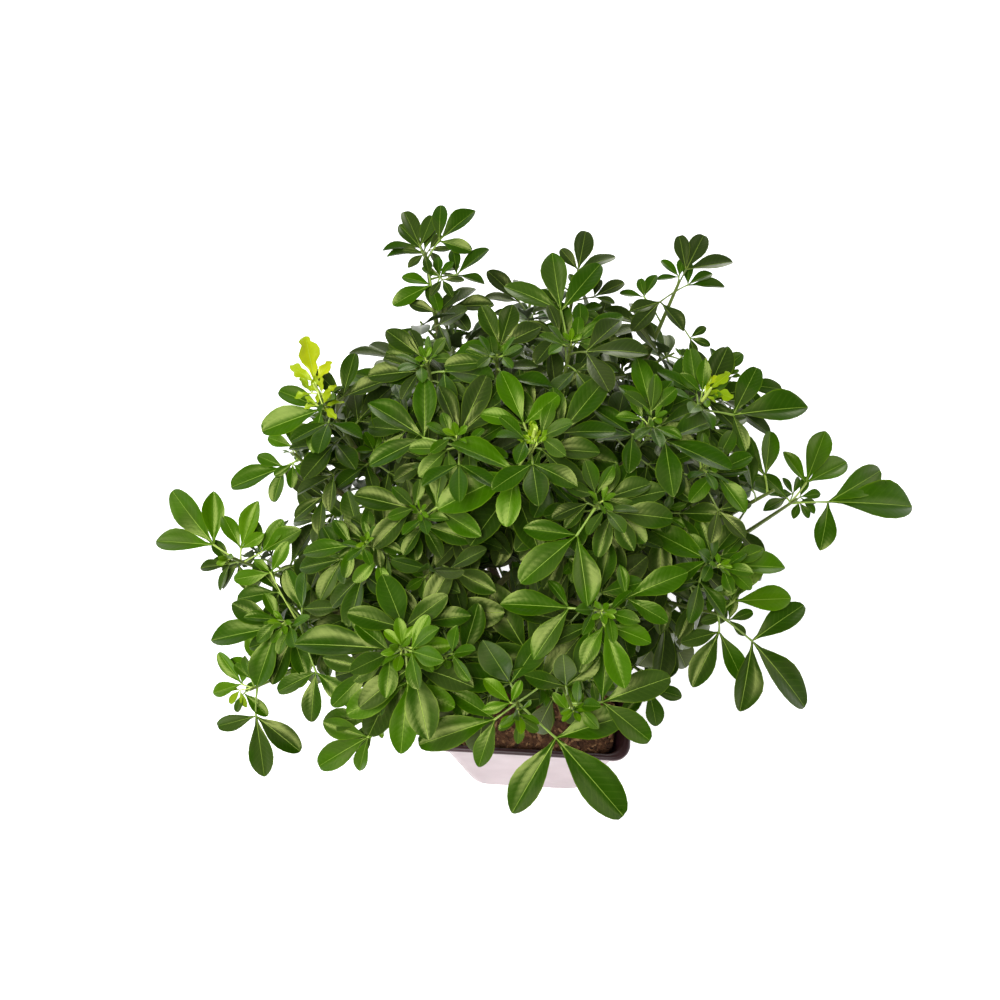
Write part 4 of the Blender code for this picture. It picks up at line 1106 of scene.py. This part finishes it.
def bark_finish():
    """Thin shrub bark: grey-brown and finely fissured low down, olive where the wood is young."""
    made, tree, shader = new_finish("thin_bark")
    where = add(tree, "ShaderNodeTexCoord").outputs["Object"]
    tint = add(tree, "ShaderNodeAttribute", {"attribute_name": "tint"}).outputs["Fac"]
    # Fissures about 1.5 mm apart, drawn out along the wood
    drawn = add(tree, "ShaderNodeMapping", (), {"Vector": where, "Scale": (1.0, 1.0, 0.22)})
    cracks = add(tree, "ShaderNodeTexNoise", (), {"Vector": drawn, "Scale": 650.0, "Detail": 4.0})
    shade = add(tree, "ShaderNodeMath", TIMES_PLUS, {0: cracks, 1: 0.5, 2: -0.25})
    shade = add(tree, "ShaderNodeMath", PLUS, {0: tint, 1: shade})
    stops = ((0.0, "#3E3122"), (0.35, "#5E5036"), (0.7, "#6A6A38"), (1.0, "#6F8038"))
    colour = colour_by(stops, add(tree, "ShaderNodeValToRGB", (), {0: shade}))
    rough = add(tree, "ShaderNodeMath", TIMES_PLUS, {0: cracks, 1: 0.3, 2: 0.55})
    bump = add(tree, "ShaderNodeBump", (), {"Strength": 0.6, "Distance": 0.6 * MM, "Height": cracks})
    feed(tree, shader, {"Base Color": colour, "Roughness": rough, "Normal": bump, "IOR": 1.45})
    return made


def pot_finish(name, plain, worn):
    """Injection-moulded polypropylene: an even colour under a satin skin, scuffed and dusted a little."""
    made, tree, shader = new_finish(name)
    where = add(tree, "ShaderNodeTexCoord").outputs["Object"]
    # Scuffed clouds about 40 mm across, and the mould's fine grain, here about 0.7 mm
    cloud = add(
        tree, "ShaderNodeTexNoise", (),
        {"Vector": where, "Scale": 26.0, "Detail": 4.0, "Roughness": 0.55},
    )
    grain = add(tree, "ShaderNodeTexNoise", (), {"Vector": where, "Scale": 1500.0, "Detail": 2.0})
    wear = add(
        tree, "ShaderNodeMapRange", EASED,
        {"Value": cloud, "From Min": 0.35, "From Max": 0.75, "To Min": 0.0, "To Max": 0.55},
    )
    colour = add(tree, "ShaderNodeMix", COLOURS, {0: wear, 6: hex_colour(plain), 7: hex_colour(worn)})
    rough = add(tree, "ShaderNodeMath", TIMES_PLUS, {0: cloud, 1: 0.25, 2: 0.3})
    bump = add(tree, "ShaderNodeBump", (), {"Strength": 0.15, "Distance": 0.1 * MM, "Height": grain})
    feed(tree, shader, {"Base Color": colour, "Roughness": rough, "Normal": bump, "IOR": 1.49})
    return made


def peat_finish():
    """Peat and shredded bark: dull and fibrous, red-brown on its crumbs and dark in its hollows, partly the
    dark peat and partly painted shade.
    """
    made, tree, shader = new_finish("peat_compost")
    where = add(tree, "ShaderNodeTexCoord").outputs["Object"]
    tint = add(tree, "ShaderNodeAttribute", {"attribute_name": "tint"}).outputs["Fac"]
    # Crumbs about 4 mm across and fibres under 1 mm
    crumbs = add(
        tree, "ShaderNodeTexNoise", (),
        {"Vector": where, "Scale": 260.0, "Detail": 8.0, "Roughness": 0.7},
    )
    fibres = add(
        tree, "ShaderNodeTexNoise", (),
        {"Vector": where, "Scale": 1400.0, "Detail": 3.0, "Roughness": 0.6},
    )
    shade = add(tree, "ShaderNodeMath", TIMES_PLUS, {0: fibres, 1: 0.35, 2: -0.12})
    shade = add(tree, "ShaderNodeMath", TIMES_PLUS, {0: crumbs, 1: 0.8, 2: shade})
    shade = add(tree, "ShaderNodeMath", PLUS, {0: shade, 1: tint})
    # The colour follows the bump's height, so the low hollows are darkest: painted shade over the dark peat
    stops = ((0.15, "#1A0F08"), (0.45, "#523420"), (0.7, "#886040"), (1.0, "#B8946A"))
    colour = colour_by(stops, add(tree, "ShaderNodeValToRGB", (), {0: shade}))
    rough = add(tree, "ShaderNodeMath", TIMES_PLUS, {0: fibres, 1: 0.2, 2: 0.78})
    height = add(tree, "ShaderNodeMath", TIMES, {0: fibres, 1: 0.4})
    height = add(tree, "ShaderNodeMath", PLUS, {0: crumbs, 1: height})
    bump = add(tree, "ShaderNodeBump", (), {"Strength": 0.9, "Distance": 1.5 * MM, "Height": height})
    feed(tree, shader, {"Base Color": colour, "Roughness": rough, "Normal": bump, "IOR": 1.4})
    return made


def label_finish():
    """Thin extruded polystyrene: off-white, smooth, with a little compost dust."""
    made, tree, shader = new_finish("label_polystyrene")
    where = add(tree, "ShaderNodeTexCoord").outputs["Object"]
    # Dusty patches about 7 mm across
    dust = add(
        tree, "ShaderNodeTexNoise", (),
        {"Vector": where, "Scale": 150.0, "Detail": 5.0, "Roughness": 0.6},
    )
    cover = add(
        tree, "ShaderNodeMapRange", EASED,
        {"Value": dust, "From Min": 0.5, "From Max": 0.8, "To Min": 0.0, "To Max": 0.4},
    )
    colour = add(
        tree, "ShaderNodeMix", COLOURS,
        {0: cover, 6: hex_colour("#E6E9DF"), 7: hex_colour("#A79C86")},
    )
    rough = add(tree, "ShaderNodeMath", TIMES_PLUS, {0: dust, 1: 0.3, 2: 0.3})
    feed(tree, shader, {"Base Color": colour, "Roughness": rough, "IOR": 1.59})
    return made


# Pot, compost and label


def corner_radius(height):
    """Radius of the pot's corners, which grows a little towards the foot."""
    return CORNER_RADIUS * (1 + 0.5 * (1 - min(height / (POT_HEIGHT - LIP_HEIGHT), 1.0)))


def rounded_square(half, height, radius, steps):
    """One ring of points round a square with round corners."""
    ring = []
    for corner in range(4):
        turn = math.pi / 2 * corner
        centre = (half - radius) * math.sqrt(2)
        for step in range(steps):
            angle = turn + math.pi / 2 * step / (steps - 1)
            x = centre * math.cos(turn + math.pi / 4) + radius * math.cos(angle)
            y = centre * math.sin(turn + math.pi / 4) + radius * math.sin(angle)
            ring.append(Vector((x, y, height)))
    return ring


def stack(rings):
    """Points and faces of a closed surface that runs through the rings, with both ends capped."""
    count = len(rings[0])
    points = [p for ring in rings for p in ring]
    faces = [tuple(range(count)), tuple(range(len(points) - count, len(points)))]
    for i in range(len(rings) - 1):
        for k in range(count):
            j = (k + 1) % count
            faces.append((i * count + k, i * count + j, (i + 1) * count + j, (i + 1) * count + k))
    return points, faces


def shell(name, points, faces):
    """An object from a closed surface, with its faces turned outwards and shaded smooth."""
    mesh = bpy.data.meshes.new(name)
    mesh.from_pydata([tuple(p) for p in points], [], faces)
    work = bmesh.new()
    work.from_mesh(mesh)
    bmesh.ops.recalc_face_normals(work, faces=work.faces)
    work.to_mesh(mesh)
    work.free()
    mesh.shade_smooth()
    made = bpy.data.objects.new(name, mesh)
    bpy.context.scene.collection.objects.link(made)
    return made


def wall_half(height):
    """Half width of the pot's outer wall at a height."""
    return BASE_HALF + (RIM_HALF - LIP_WIDTH - BASE_HALF) * height / (POT_HEIGHT - LIP_HEIGHT)


def drill_hole(pot, x, y):
    """Cuts one drain hole through the pot's floor."""
    turns = [2 * math.pi * k / 32 for k in range(32)]
    rim = [(x + DRAIN_RADIUS * math.cos(turn), y + DRAIN_RADIUS * math.sin(turn)) for turn in turns]
    drill = shell("drill", *stack([[Vector((*place, z)) for place in rim] for z in (-5 * MM, 10 * MM)]))
    cut = pot.modifiers.new("Drain", "BOOLEAN")
    cut.object = drill
    cut.operation = "DIFFERENCE"
    graph = bpy.context.evaluated_depsgraph_get()
    mesh = bpy.data.meshes.new_from_object(pot.evaluated_get(graph))
    pot.modifiers.clear()
    pot.data = mesh
    bpy.data.objects.remove(drill)


def build_pot(wall_look, lip_and_inner_shade_look):
    """The pot with full round corners, a rolled lip and drain holes."""
    neck = POT_HEIGHT - LIP_HEIGHT
    mouth = RIM_HALF - LIP_WIDTH
    # Half widths and heights: from the foot up the outside, round the lip, and down the inside
    profile = [
        (BASE_HALF - 4 * MM, 0.0), (BASE_HALF - 1.6 * MM, 0.3 * MM), (BASE_HALF - 0.2 * MM, 1.3 * MM),
        (wall_half(3 * MM), 3 * MM), (wall_half(neck * 0.33), neck * 0.33),
        (wall_half(neck * 0.66), neck * 0.66), (wall_half(neck) - 0.1 * MM, neck - 0.6 * MM),
        (wall_half(neck) + 0.4 * MM, neck), (RIM_HALF - 0.9 * MM, neck + 0.4 * MM),
        (RIM_HALF - 0.2 * MM, neck + 1.2 * MM), (RIM_HALF, POT_HEIGHT - 2.6 * MM),
        (RIM_HALF - 0.3 * MM, POT_HEIGHT - 1.2 * MM), (RIM_HALF - 1.2 * MM, POT_HEIGHT - 0.3 * MM),
        (RIM_HALF - 2.4 * MM, POT_HEIGHT), (mouth + 0.6 * MM, POT_HEIGHT - 0.3 * MM),
        (mouth - 0.3 * MM, POT_HEIGHT - 1.2 * MM), (wall_half(neck) - WALL, POT_HEIGHT - 3.5 * MM),
        (wall_half(neck * 0.5) - WALL, neck * 0.5), (wall_half(6 * MM) - WALL, 6 * MM),
        (wall_half(FLOOR) - WALL - 2 * MM, FLOOR),
    ]
    rings = [rounded_square(half, height, corner_radius(height), 13) for half, height in profile]
    pot = shell("moulded_pot", *stack(rings))
    for x, y in ((1, 1), (-1, 1), (-1, -1), (1, -1)):
        drill_hole(pot, x * DRAIN_OFFSET, y * DRAIN_OFFSET)
    pot.data.materials.clear()
    pot.data.materials.append(wall_look)
    pot.data.materials.append(lip_and_inner_shade_look)
    # The dark colour covers the lip's top, which is the lip's own dark maroon, and the whole inside, where
    # faces look to the pot's axis and the dark is painted shade
    for face in pot.data.polygons:
        out = face.center.xy
        inside = face.center.z > FLOOR and out.length > 1 * MM and face.normal.xy.dot(out) < 0
        face.material_index = 1 if face.center.z > POT_HEIGHT - 3 * MM or inside else 0
    pot.data.set_sharp_from_angle(angle=math.radians(40))
    return pot


def soil_height(x, y):
    """The height of the compost's top, with its broad clods and smaller crumbs."""
    place = Vector((x, y, SOIL_TOP))
    lump = noise.noise(place * 85) + 0.6 * noise.noise(place * 190)
    crumbs = 0.9 * noise.noise(place * 420) + 0.5 * noise.noise(place * 900)
    return SOIL_TOP + CLOD * lump + 1.1 * MM * crumbs


def build_soil(look):
    """The root ball, with a crumbly top and a shoulder that falls to the pot's wall."""
    half_at_top = wall_half(SOIL_TOP) - WALL - SOIL_SLACK
    middle = 4 * MM
    roundest = 25 * MM
    steps = 40
    rings = []
    # Over the top, from a nearly round ring in the middle to the wall's own corners
    for k in range(46):
        half = middle + (half_at_top - SOIL_SHOULDER - middle) * k / 45
        radius = min(0.92 * half, roundest) + (CORNER_RADIUS - roundest) * max(0.0, k / 45 - 0.5) * 2
        rings.append(rounded_square(half, SOIL_TOP, radius, steps))
    for k in range(1, 13):
        angle = math.pi / 2 * k / 12
        half = half_at_top - SOIL_SHOULDER * (1 - math.sin(angle))
        height = SOIL_TOP - SOIL_SHOULDER * (1 - math.cos(angle))
        rings.append(rounded_square(half, height, CORNER_RADIUS, steps))
    for ring in rings:
        for point in ring:
            point.z += soil_height(point.x, point.y) - SOIL_TOP
            rough = 0.012 * noise.noise(point * 140 + UP) + 0.010 * noise.noise(point * 420)
            point.xy = point.xy * (1 + rough)
    for height, gap in ((SOIL_TOP - SOIL_MEETS, 0.8 * MM), (FLOOR + SEAT_GAP, 2.4 * MM)):
        rings.append(rounded_square(wall_half(height) - WALL - gap, height, corner_radius(height), steps))
    soil = shell("compost", *stack(rings))
    soil.data.materials.append(look)
    return soil


def crumb_form(name, pick, long):
    """One rough chip or crumb, one unit across."""
    work = bmesh.new()
    bmesh.ops.create_icosphere(work, subdivisions=1, radius=0.5)
    for vertex in work.verts:
        vertex.co *= pick.uniform(0.7, 1.2)
        vertex.co.x *= long
        vertex.co.z *= 0.5
    bmesh.ops.recalc_face_normals(work, faces=work.faces)
    mesh = bpy.data.meshes.new(name)
    work.to_mesh(mesh)
    work.free()
    return bpy.data.objects.new(name, mesh)


def scatter_tree():
    """Geometry Nodes that strew crumbs over a surface's upward faces, each turned and sized by chance."""
    inputs = (
        ("Geometry", "Geometry"), ("Crumbs", "Collection"), ("Density", "Float"), ("Smallest", "Float"),
        ("Largest", "Float"), ("Seed", "Int"), ("Finish", "Material"),
    )
    tree, given = new_group("Strew", inputs)
    rise = add(tree, "ShaderNodeSeparateXYZ", (), {0: add(tree, "GeometryNodeInputNormal")}).outputs[2]
    level = add(tree, "FunctionNodeCompare", {"operation": "GREATER_THAN"}, {0: rise, 1: 0.45})
    spots = add(
        tree, "GeometryNodeDistributePointsOnFaces", (),
        {0: given["Geometry"], "Selection": level, "Density": given["Density"], "Seed": given["Seed"]},
    )
    turn = add(
        tree, "FunctionNodeRandomValue", VECTORS,
        {0: (-0.7, -0.7, 0.0), 1: (0.7, 0.7, 6.28), "Seed": given["Seed"]},
    )
    size = add(tree, "FunctionNodeRandomValue", NUMBERS, {2: given["Smallest"], 3: given["Largest"]})
    forms = add(
        tree, "GeometryNodeCollectionInfo", (),
        {"Collection": given["Crumbs"], "Separate Children": True, "Reset Children": True},
    )
    crumbs = add(
        tree, "GeometryNodeInstanceOnPoints", (),
        {
            "Points": spots.outputs[0], "Instance": forms, "Pick Instance": True, "Rotation": turn,
            "Scale": size,
        },
    )
    shade = add(tree, "FunctionNodeRandomValue", NUMBERS, {2: -0.2, 3: 0.35, "Seed": 4})
    crumbs = add(
        tree, "GeometryNodeStoreNamedAttribute", {"data_type": "FLOAT", "domain": "INSTANCE"},
        {0: crumbs, "Name": "tint", "Value": shade},
    )
    crumbs = add(tree, "GeometryNodeRealizeInstances", (), {0: crumbs})
    crumbs = add(tree, "GeometryNodeSetMaterial", (), {0: crumbs, "Material": given["Finish"]})
    add(tree, "NodeGroupOutput", (), {0: crumbs})
    return tree


# Finer growth


def more_leaves(sprig, size, pick):
    """What the solids leave out of a shoot, with tints: leaves at its tip and older ones below."""
    roll = pick.uniform(0, 180)
    found = []
    for turn, angle, share, drop, tint in TIP_ROWS:
        for half in (0, 180):
            length = size * share * pick.uniform(0.9, 1.1)
            around = roll + turn + half + pick.uniform(-14, 14)
            lean = angle + pick.uniform(-7, 7)
            sizes = (around, lean, length, drop, length * FILL_STALK, pick.uniform(50, 64))
            found.append((paired_leaf(sprig, sizes), tint))
    return found


def inside(place, border):
    """Whether a place in the view lies within a closed border of places."""
    x, y = place
    within = False
    for (from_x, from_y), (to_x, to_y) in zip(border, border[1:] + border[:1]):
        if (from_y > y) != (to_y > y) and x < from_x + (to_x - from_x) * (y - from_y) / (to_y - from_y):
            within = not within
    return within


def try_leaf(plan, room, sprig, wanted, tint, pick, seen=False):
    """Adds a leaf in the mildest bend that keeps it clear, and says if one did. A leaf that the photograph
    doesn't show also has to keep within the crown's mass."""
    for bend in BENDS:
        leaf = bent(wanted, sprig, *bend)
        tips = [in_view(leaf.joint + reach) for reach in leaf.reaches]
        if not seen and not all(inside(tip, CROWN_BORDER) for tip in tips):
            continue
        if room.clear(*leaf_sheet(leaf, FILL_CLEARANCE, 0.4)):
            room.add(*leaf_sheet(leaf, 0.1 * MM, 0.0))
            plan_leaf(plan, leaf, tint, pick, SEEN_LOOSE if seen else 1.0)
            return True
    return False


def leafy_twig(room, root, axis, tip, size, tint, pick):
    """The plan of a side twig with the leaves that find room on it, or nothing if they are too few."""
    plan = Plan()
    roll = pick.uniform(0, 180)
    grown = 0
    for turn, angle, share, drop, fresher in TWIG_ROWS:
        for half in (0, 180):
            length = size * share * pick.uniform(0.88, 1.1)
            lean = angle + pick.uniform(-8, 8)
            sizes = (roll + turn + half, lean, length, drop, length * FILL_STALK, USUAL_SPREAD)
            sprig = Sprig(tip, axis)
            grown += try_leaf(plan, room, sprig, paired_leaf(sprig, sizes), tint + fresher, pick)
    if grown < 2:
        return None
    plan.line([root, root.lerp(tip, 0.5), tip], TWIG_RADII, 0.35)
    room.add(*stem_box(root + axis * TWIG_FOOT * MM, tip, 1.0 * MM))
    return plan


def sprout(plan, room, path, shares, roll, size, tint, pick):
    """Side twigs with leaves along a branch, at shares of its length, each a golden angle from the last."""
    for number, share in enumerate(shares):
        place = share * (len(path) - 1)
        low = min(int(place), len(path) - 2)
        root = path[low].lerp(path[low + 1], place - low)
        along = (path[low + 1] - path[low]).normalized()
        away = Vector([(root[i] - CROWN_CENTRE[i]) / CROWN_RADII[i] for i in range(3)]).normalized()
        right, back = axes_round(along)
        for attempt in range(8):
            around = math.radians(roll + GOLDEN_ANGLE * number + 45 * attempt)
            out = right * math.cos(around) + back * math.sin(around)
            axis = (along * 0.75 + out + away * 0.5 + UP * 0.25).normalized()
            tip = root + axis * TWIG_LENGTH * pick.uniform(0.8, 1.2)
            if not room.clear(*stem_box(root + axis * TWIG_FOOT * MM, tip, 1.2 * MM)):
                continue
            twig = leafy_twig(room, root, axis, tip, size, tint, pick)
            if twig:
                plan.take(twig)
                break


def young_growth(shoot, pick):
    """The plan of the young stub above a shoot's tip, with its ruffled, nearly upright leaves."""
    plan = Plan()
    axis = axis_of(shoot)
    foot = tip_of(shoot) + axis * SEAT_GAP
    plan.line([foot, foot + axis * YOUNG_STUB * 0.6, foot + axis * YOUNG_STUB], YOUNG_RADII, 1.2)
    sprig = Sprig(foot + axis * YOUNG_STUB, axis)
    for name, tint, *marks in YOUNG_LEAVES:
        if name == shoot.name:
            leaf = seen_leaf(sprig, marks, YOUNG_SIZES, YOUNG_SPREADS)
            plan_leaf(plan, leaf, tint, pick, young=True)
    return plan


# Floor, lights and camera


def build_floor():
    """A light table that glows a little."""
    look, tree, shader = new_finish("opal_light_table")
    white = hex_colour("#FFFFFF")
    where = add(tree, "ShaderNodeTexCoord").outputs["Object"]
    # Faint clouds about 0.3 m across
    cloud = add(tree, "ShaderNodeTexNoise", (), {"Vector": where, "Scale": 3.0, "Detail": 2.0})
    colour = add(tree, "ShaderNodeMix", COLOURS, {0: cloud, 6: white, 7: hex_colour("#FCFCFC")})
    glow = {"Emission Color": white, "Emission Strength": 0.5}
    feed(tree, shader, {"Base Color": colour, "Roughness": 0.9, "Specular IOR Level": 0.1, **glow})
    size = 6.0
    corners = [(-size, -size, 0), (size, -size, 0), (size, size, 0), (-size, size, 0)]
    mesh = bpy.data.meshes.new("floor")
    mesh.from_pydata(corners, [], [(0, 1, 2, 3)])
    mesh.materials.append(look)
    floor = bpy.data.objects.new("floor", mesh)
    bpy.context.scene.collection.objects.link(floor)


def build_lights():
    """A pale studio room, whose light comes from low down all round and from the back, and large panels."""
    world = bpy.data.worlds.new("studio")
    world.use_nodes = True
    tree = world.node_tree
    way = add(tree, "ShaderNodeTexCoord").outputs["Generated"]
    _, depth, height = add(tree, "ShaderNodeSeparateXYZ", (), {0: way}).outputs
    walls = add(
        tree, "ShaderNodeMapRange", EASED,
        {"Value": height, "From Min": 0.1, "From Max": 0.42, "To Min": 0.8, "To Max": 0.1},
    )
    back = add(
        tree, "ShaderNodeMapRange", EASED,
        {"Value": depth, "From Min": 0.3, "From Max": 0.95, "To Min": 0.0, "To Max": 0.6},
    )
    back = add(tree, "ShaderNodeMath", PLUS, {0: back, 1: 0.1})
    glow = add(tree, "ShaderNodeMath", {"operation": "MAXIMUM"}, {0: walls, 1: back})
    feed(tree, tree.nodes["Background"], {"Strength": glow, "Color": (1.0, 1.0, 1.0, 1.0)})
    bpy.context.scene.world = world
    # Each panel's place and width in metres, and its power in watts
    panels = (
        ("key_panel", (-0.5, -0.95, 2.1), 1.1, 63.0), ("left_panel", (-1.9, 0.2, 1.3), 0.9, 9.0),
        ("right_panel", (1.9, 0.4, 1.3), 0.9, 6.0), ("back_panel", (0.3, 2.1, 0.75), 1.2, 16.0),
    )
    for name, place, width, power in panels:
        data = bpy.data.lights.new(name, "AREA")
        data.size = width
        data.energy = power
        lamp = bpy.data.objects.new(name, data)
        lamp.location = place
        lamp.rotation_euler = (Vector(place) - CROWN_CENTRE).to_track_quat("Z", "Y").to_euler()
        bpy.context.scene.collection.objects.link(lamp)


def build_camera():
    """The photograph's view: from above and in front, at about a metre."""
    data = bpy.data.cameras.new("camera")
    data.sensor_width = 36.0
    data.lens = VIEW_LENS * data.sensor_width / (2 * VIEW_MIDDLE)
    camera = bpy.data.objects.new("camera", data)
    camera.location = sight_line((VIEW_MIDDLE, VIEW_MIDDLE))[0]
    camera.rotation_euler = (math.radians(90 - VIEW_DOWN), 0.0, math.radians(VIEW_TURN))
    bpy.context.scene.collection.objects.link(camera)
    bpy.context.scene.camera = camera


# The pieces


def settle(piece, slot, *stands_for):
    """Attaches a finished piece to the root body and hides the solids it stands for. The slot is not used."""
    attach(piece, "root")
    if stands_for:
        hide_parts(*stands_for)


def shoot_plans(nodes, room, pick):
    """The plans of the shoots by name: stem, leaves as the solids have them, and the finer growth."""
    plans = {}
    sizes = {}
    for shoot in SHOOTS:
        plan = Plan()
        tip, axis = sprig_of(shoot)
        path = [tip - axis * SHOOT_LENGTH * (1 - k / 4) for k in range(5)]
        plan.line(path, tapered(SHOOT_RADII, 5), 0.3)
        # Shoots at the front and those that lean far out to a side are painted lighter, and those at the back
        # darker and greyer: painted light on the front and a painted dull reflection at the back, over each
        # leaf's own chance tint
        fresh_and_lit = 0.4 - 0.15 * tip.y / tip.xy.length + (0.2 if abs(tip.x) > 150 * MM else 0.0)
        sizes[shoot.name] = LEAST_SIZE
        for number, leaf in enumerate(solid_leaves(shoot, nodes["shoot_" + shoot.name].data)):
            tint = fresh_and_lit + pick.uniform(-0.45, 0.35)
            # A listed leaf is painted paler: partly younger growth, partly a painted highlight
            tint = 1.0 if number in PALE_LEAVES.get(shoot.name, ()) else tint
            plan_leaf(plan, leaf, tint, pick, SEEN_LOOSE)
            sizes[shoot.name] = max(sizes[shoot.name], leaf.reaches[1].length / MM)
        plans[shoot.name] = plan
    sprigs = {shoot.name: sprig_of(shoot) for shoot in SHOOTS}
    for name, tint, *marks in SMALL_LEAVES:
        leaf = seen_leaf(sprigs[name], marks)
        try_leaf(plans[name], room, sprigs[name], leaf, tint, pick, seen=True)
    for name, sprig in sprigs.items():
        for leaf, tint in more_leaves(sprig, sizes[name], pick):
            try_leaf(plans[name], room, sprig, leaf, tint, pick)
    return plans


def side_of(tip):
    """The side of the crown that a place is on."""
    if abs(tip.x) > abs(tip.y):
        return "right" if tip.x > 0 else "left"
    return "back" if tip.y > 0 else "front"


def wood_plans(room, pick):
    """The plan of the whole wood, and the plans of the side twigs by the side of the crown."""
    wood = Plan()
    foot = Vector((0, 0, SOIL_TOP - 6 * MM))
    wood.line([foot, foot + UP * 6 * MM, foot + UP * 12 * MM, FORK + UP * 2 * MM], TRUNK_RADII, 0.0)
    twigs = {side: Plan() for side in ("front", "left", "right", "back")}
    limbs = limb_paths()
    for number, path in enumerate(limbs):
        wood.line(path, tapered(LIMB_RADII, len(path)), 0.25)
        bearing = LIMB_BEARINGS[number % len(LIMB_BEARINGS)]
        side = "front" if bearing > 200 else "back"
        sprout(twigs[side], room, path, LIMB_SHARES, roll=40 * number, size=38, tint=0.0, pick=pick)
    for number, shoot in enumerate(SHOOTS):
        path = branch_path(shoot, limbs, 10)
        wood.line(path, tapered(BRANCH_RADII, len(path)), 0.7)
        side = side_of(tip_of(shoot))
        sprout(twigs[side], room, path, BRANCH_SHARES, roll=70 * number, size=40, tint=0.15, pick=pick)
    return wood, twigs


def build_plant(nodes, pick):
    """Every piece of the plant above the soil, grown from plans."""
    growth = growth_tree()
    values = {
        "Leaflets": leaflet_forms(), "Stem Sides": 6, "Leaf Finish": leaf_finish(),
        "Stem Finish": stem_finish(),
    }
    room = Room()
    for node in nodes.values():
        room.add([v.co for v in node.data.vertices], [tuple(p.vertices) for p in node.data.polygons])
    for name, plan in shoot_plans(nodes, room, pick).items():
        settle(grow("leaves_" + name, plan, growth, values), "leaf", "shoot_" + name)
    young_names = {name for name, *rest in YOUNG_LEAVES}
    for shoot in SHOOTS:
        if shoot.name in young_names:
            piece = grow("new_growth_" + shoot.name, young_growth(shoot, pick), growth, values)
            settle(piece, "young_leaf", "young_" + shoot.name)
    wood, twigs = wood_plans(room, pick)
    bark = {**values, "Stem Finish": bark_finish(), "Stem Sides": 12}
    settle(grow("woody_frame", wood, growth, bark), "bark", "wood")
    for side, plan in twigs.items():
        settle(grow("side_twigs_" + side, plan, growth, values), "leaf")


def build_container(nodes, pick):
    """The pot, the compost with its crumbs, and the label's finish."""
    wall_look = pot_finish("polypropylene_wall", "#AC9A9E", "#9F8F92")
    # The lip's own dark maroon, which the pot's inside also takes as painted shade
    lip_and_inner_shade_look = pot_finish("polypropylene_lip", "#2C1316", "#45282C")
    settle(build_pot(wall_look, lip_and_inner_shade_look), "pot_plastic", "pot")
    peat_look = peat_finish()
    soil = build_soil(peat_look)
    crumbs = bpy.data.collections.new("crumbs")
    for k, long in enumerate((1.0, 2.4, 1.4, 3.2, 1.1)):
        crumbs.objects.link(crumb_form("crumb_%02d" % k, pick, long))
    strewn = {
        "Crumbs": crumbs, "Density": 90000.0, "Smallest": 1.2 * MM, "Largest": 4.5 * MM, "Seed": 3,
        "Finish": peat_look,
    }
    chips = grown_by("bark_chips", soil.data.copy(), scatter_tree(), strewn)
    settle(soil, "peat", "root_ball")
    settle(chips, "peat")
    nodes["plant_label"].data.materials[0] = label_finish()


def main():
    """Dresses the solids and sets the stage."""
    for old in list(bpy.data.objects):
        bpy.data.objects.remove(old)
    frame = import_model()
    nodes = frame["nodes"]
    pick = random.Random(FILL_SEED)
    build_plant(nodes, pick)
    build_container(nodes, pick)
    build_floor()
    build_lights()
    build_camera()
    bpy.context.scene.view_settings.view_transform = "Standard"


main()
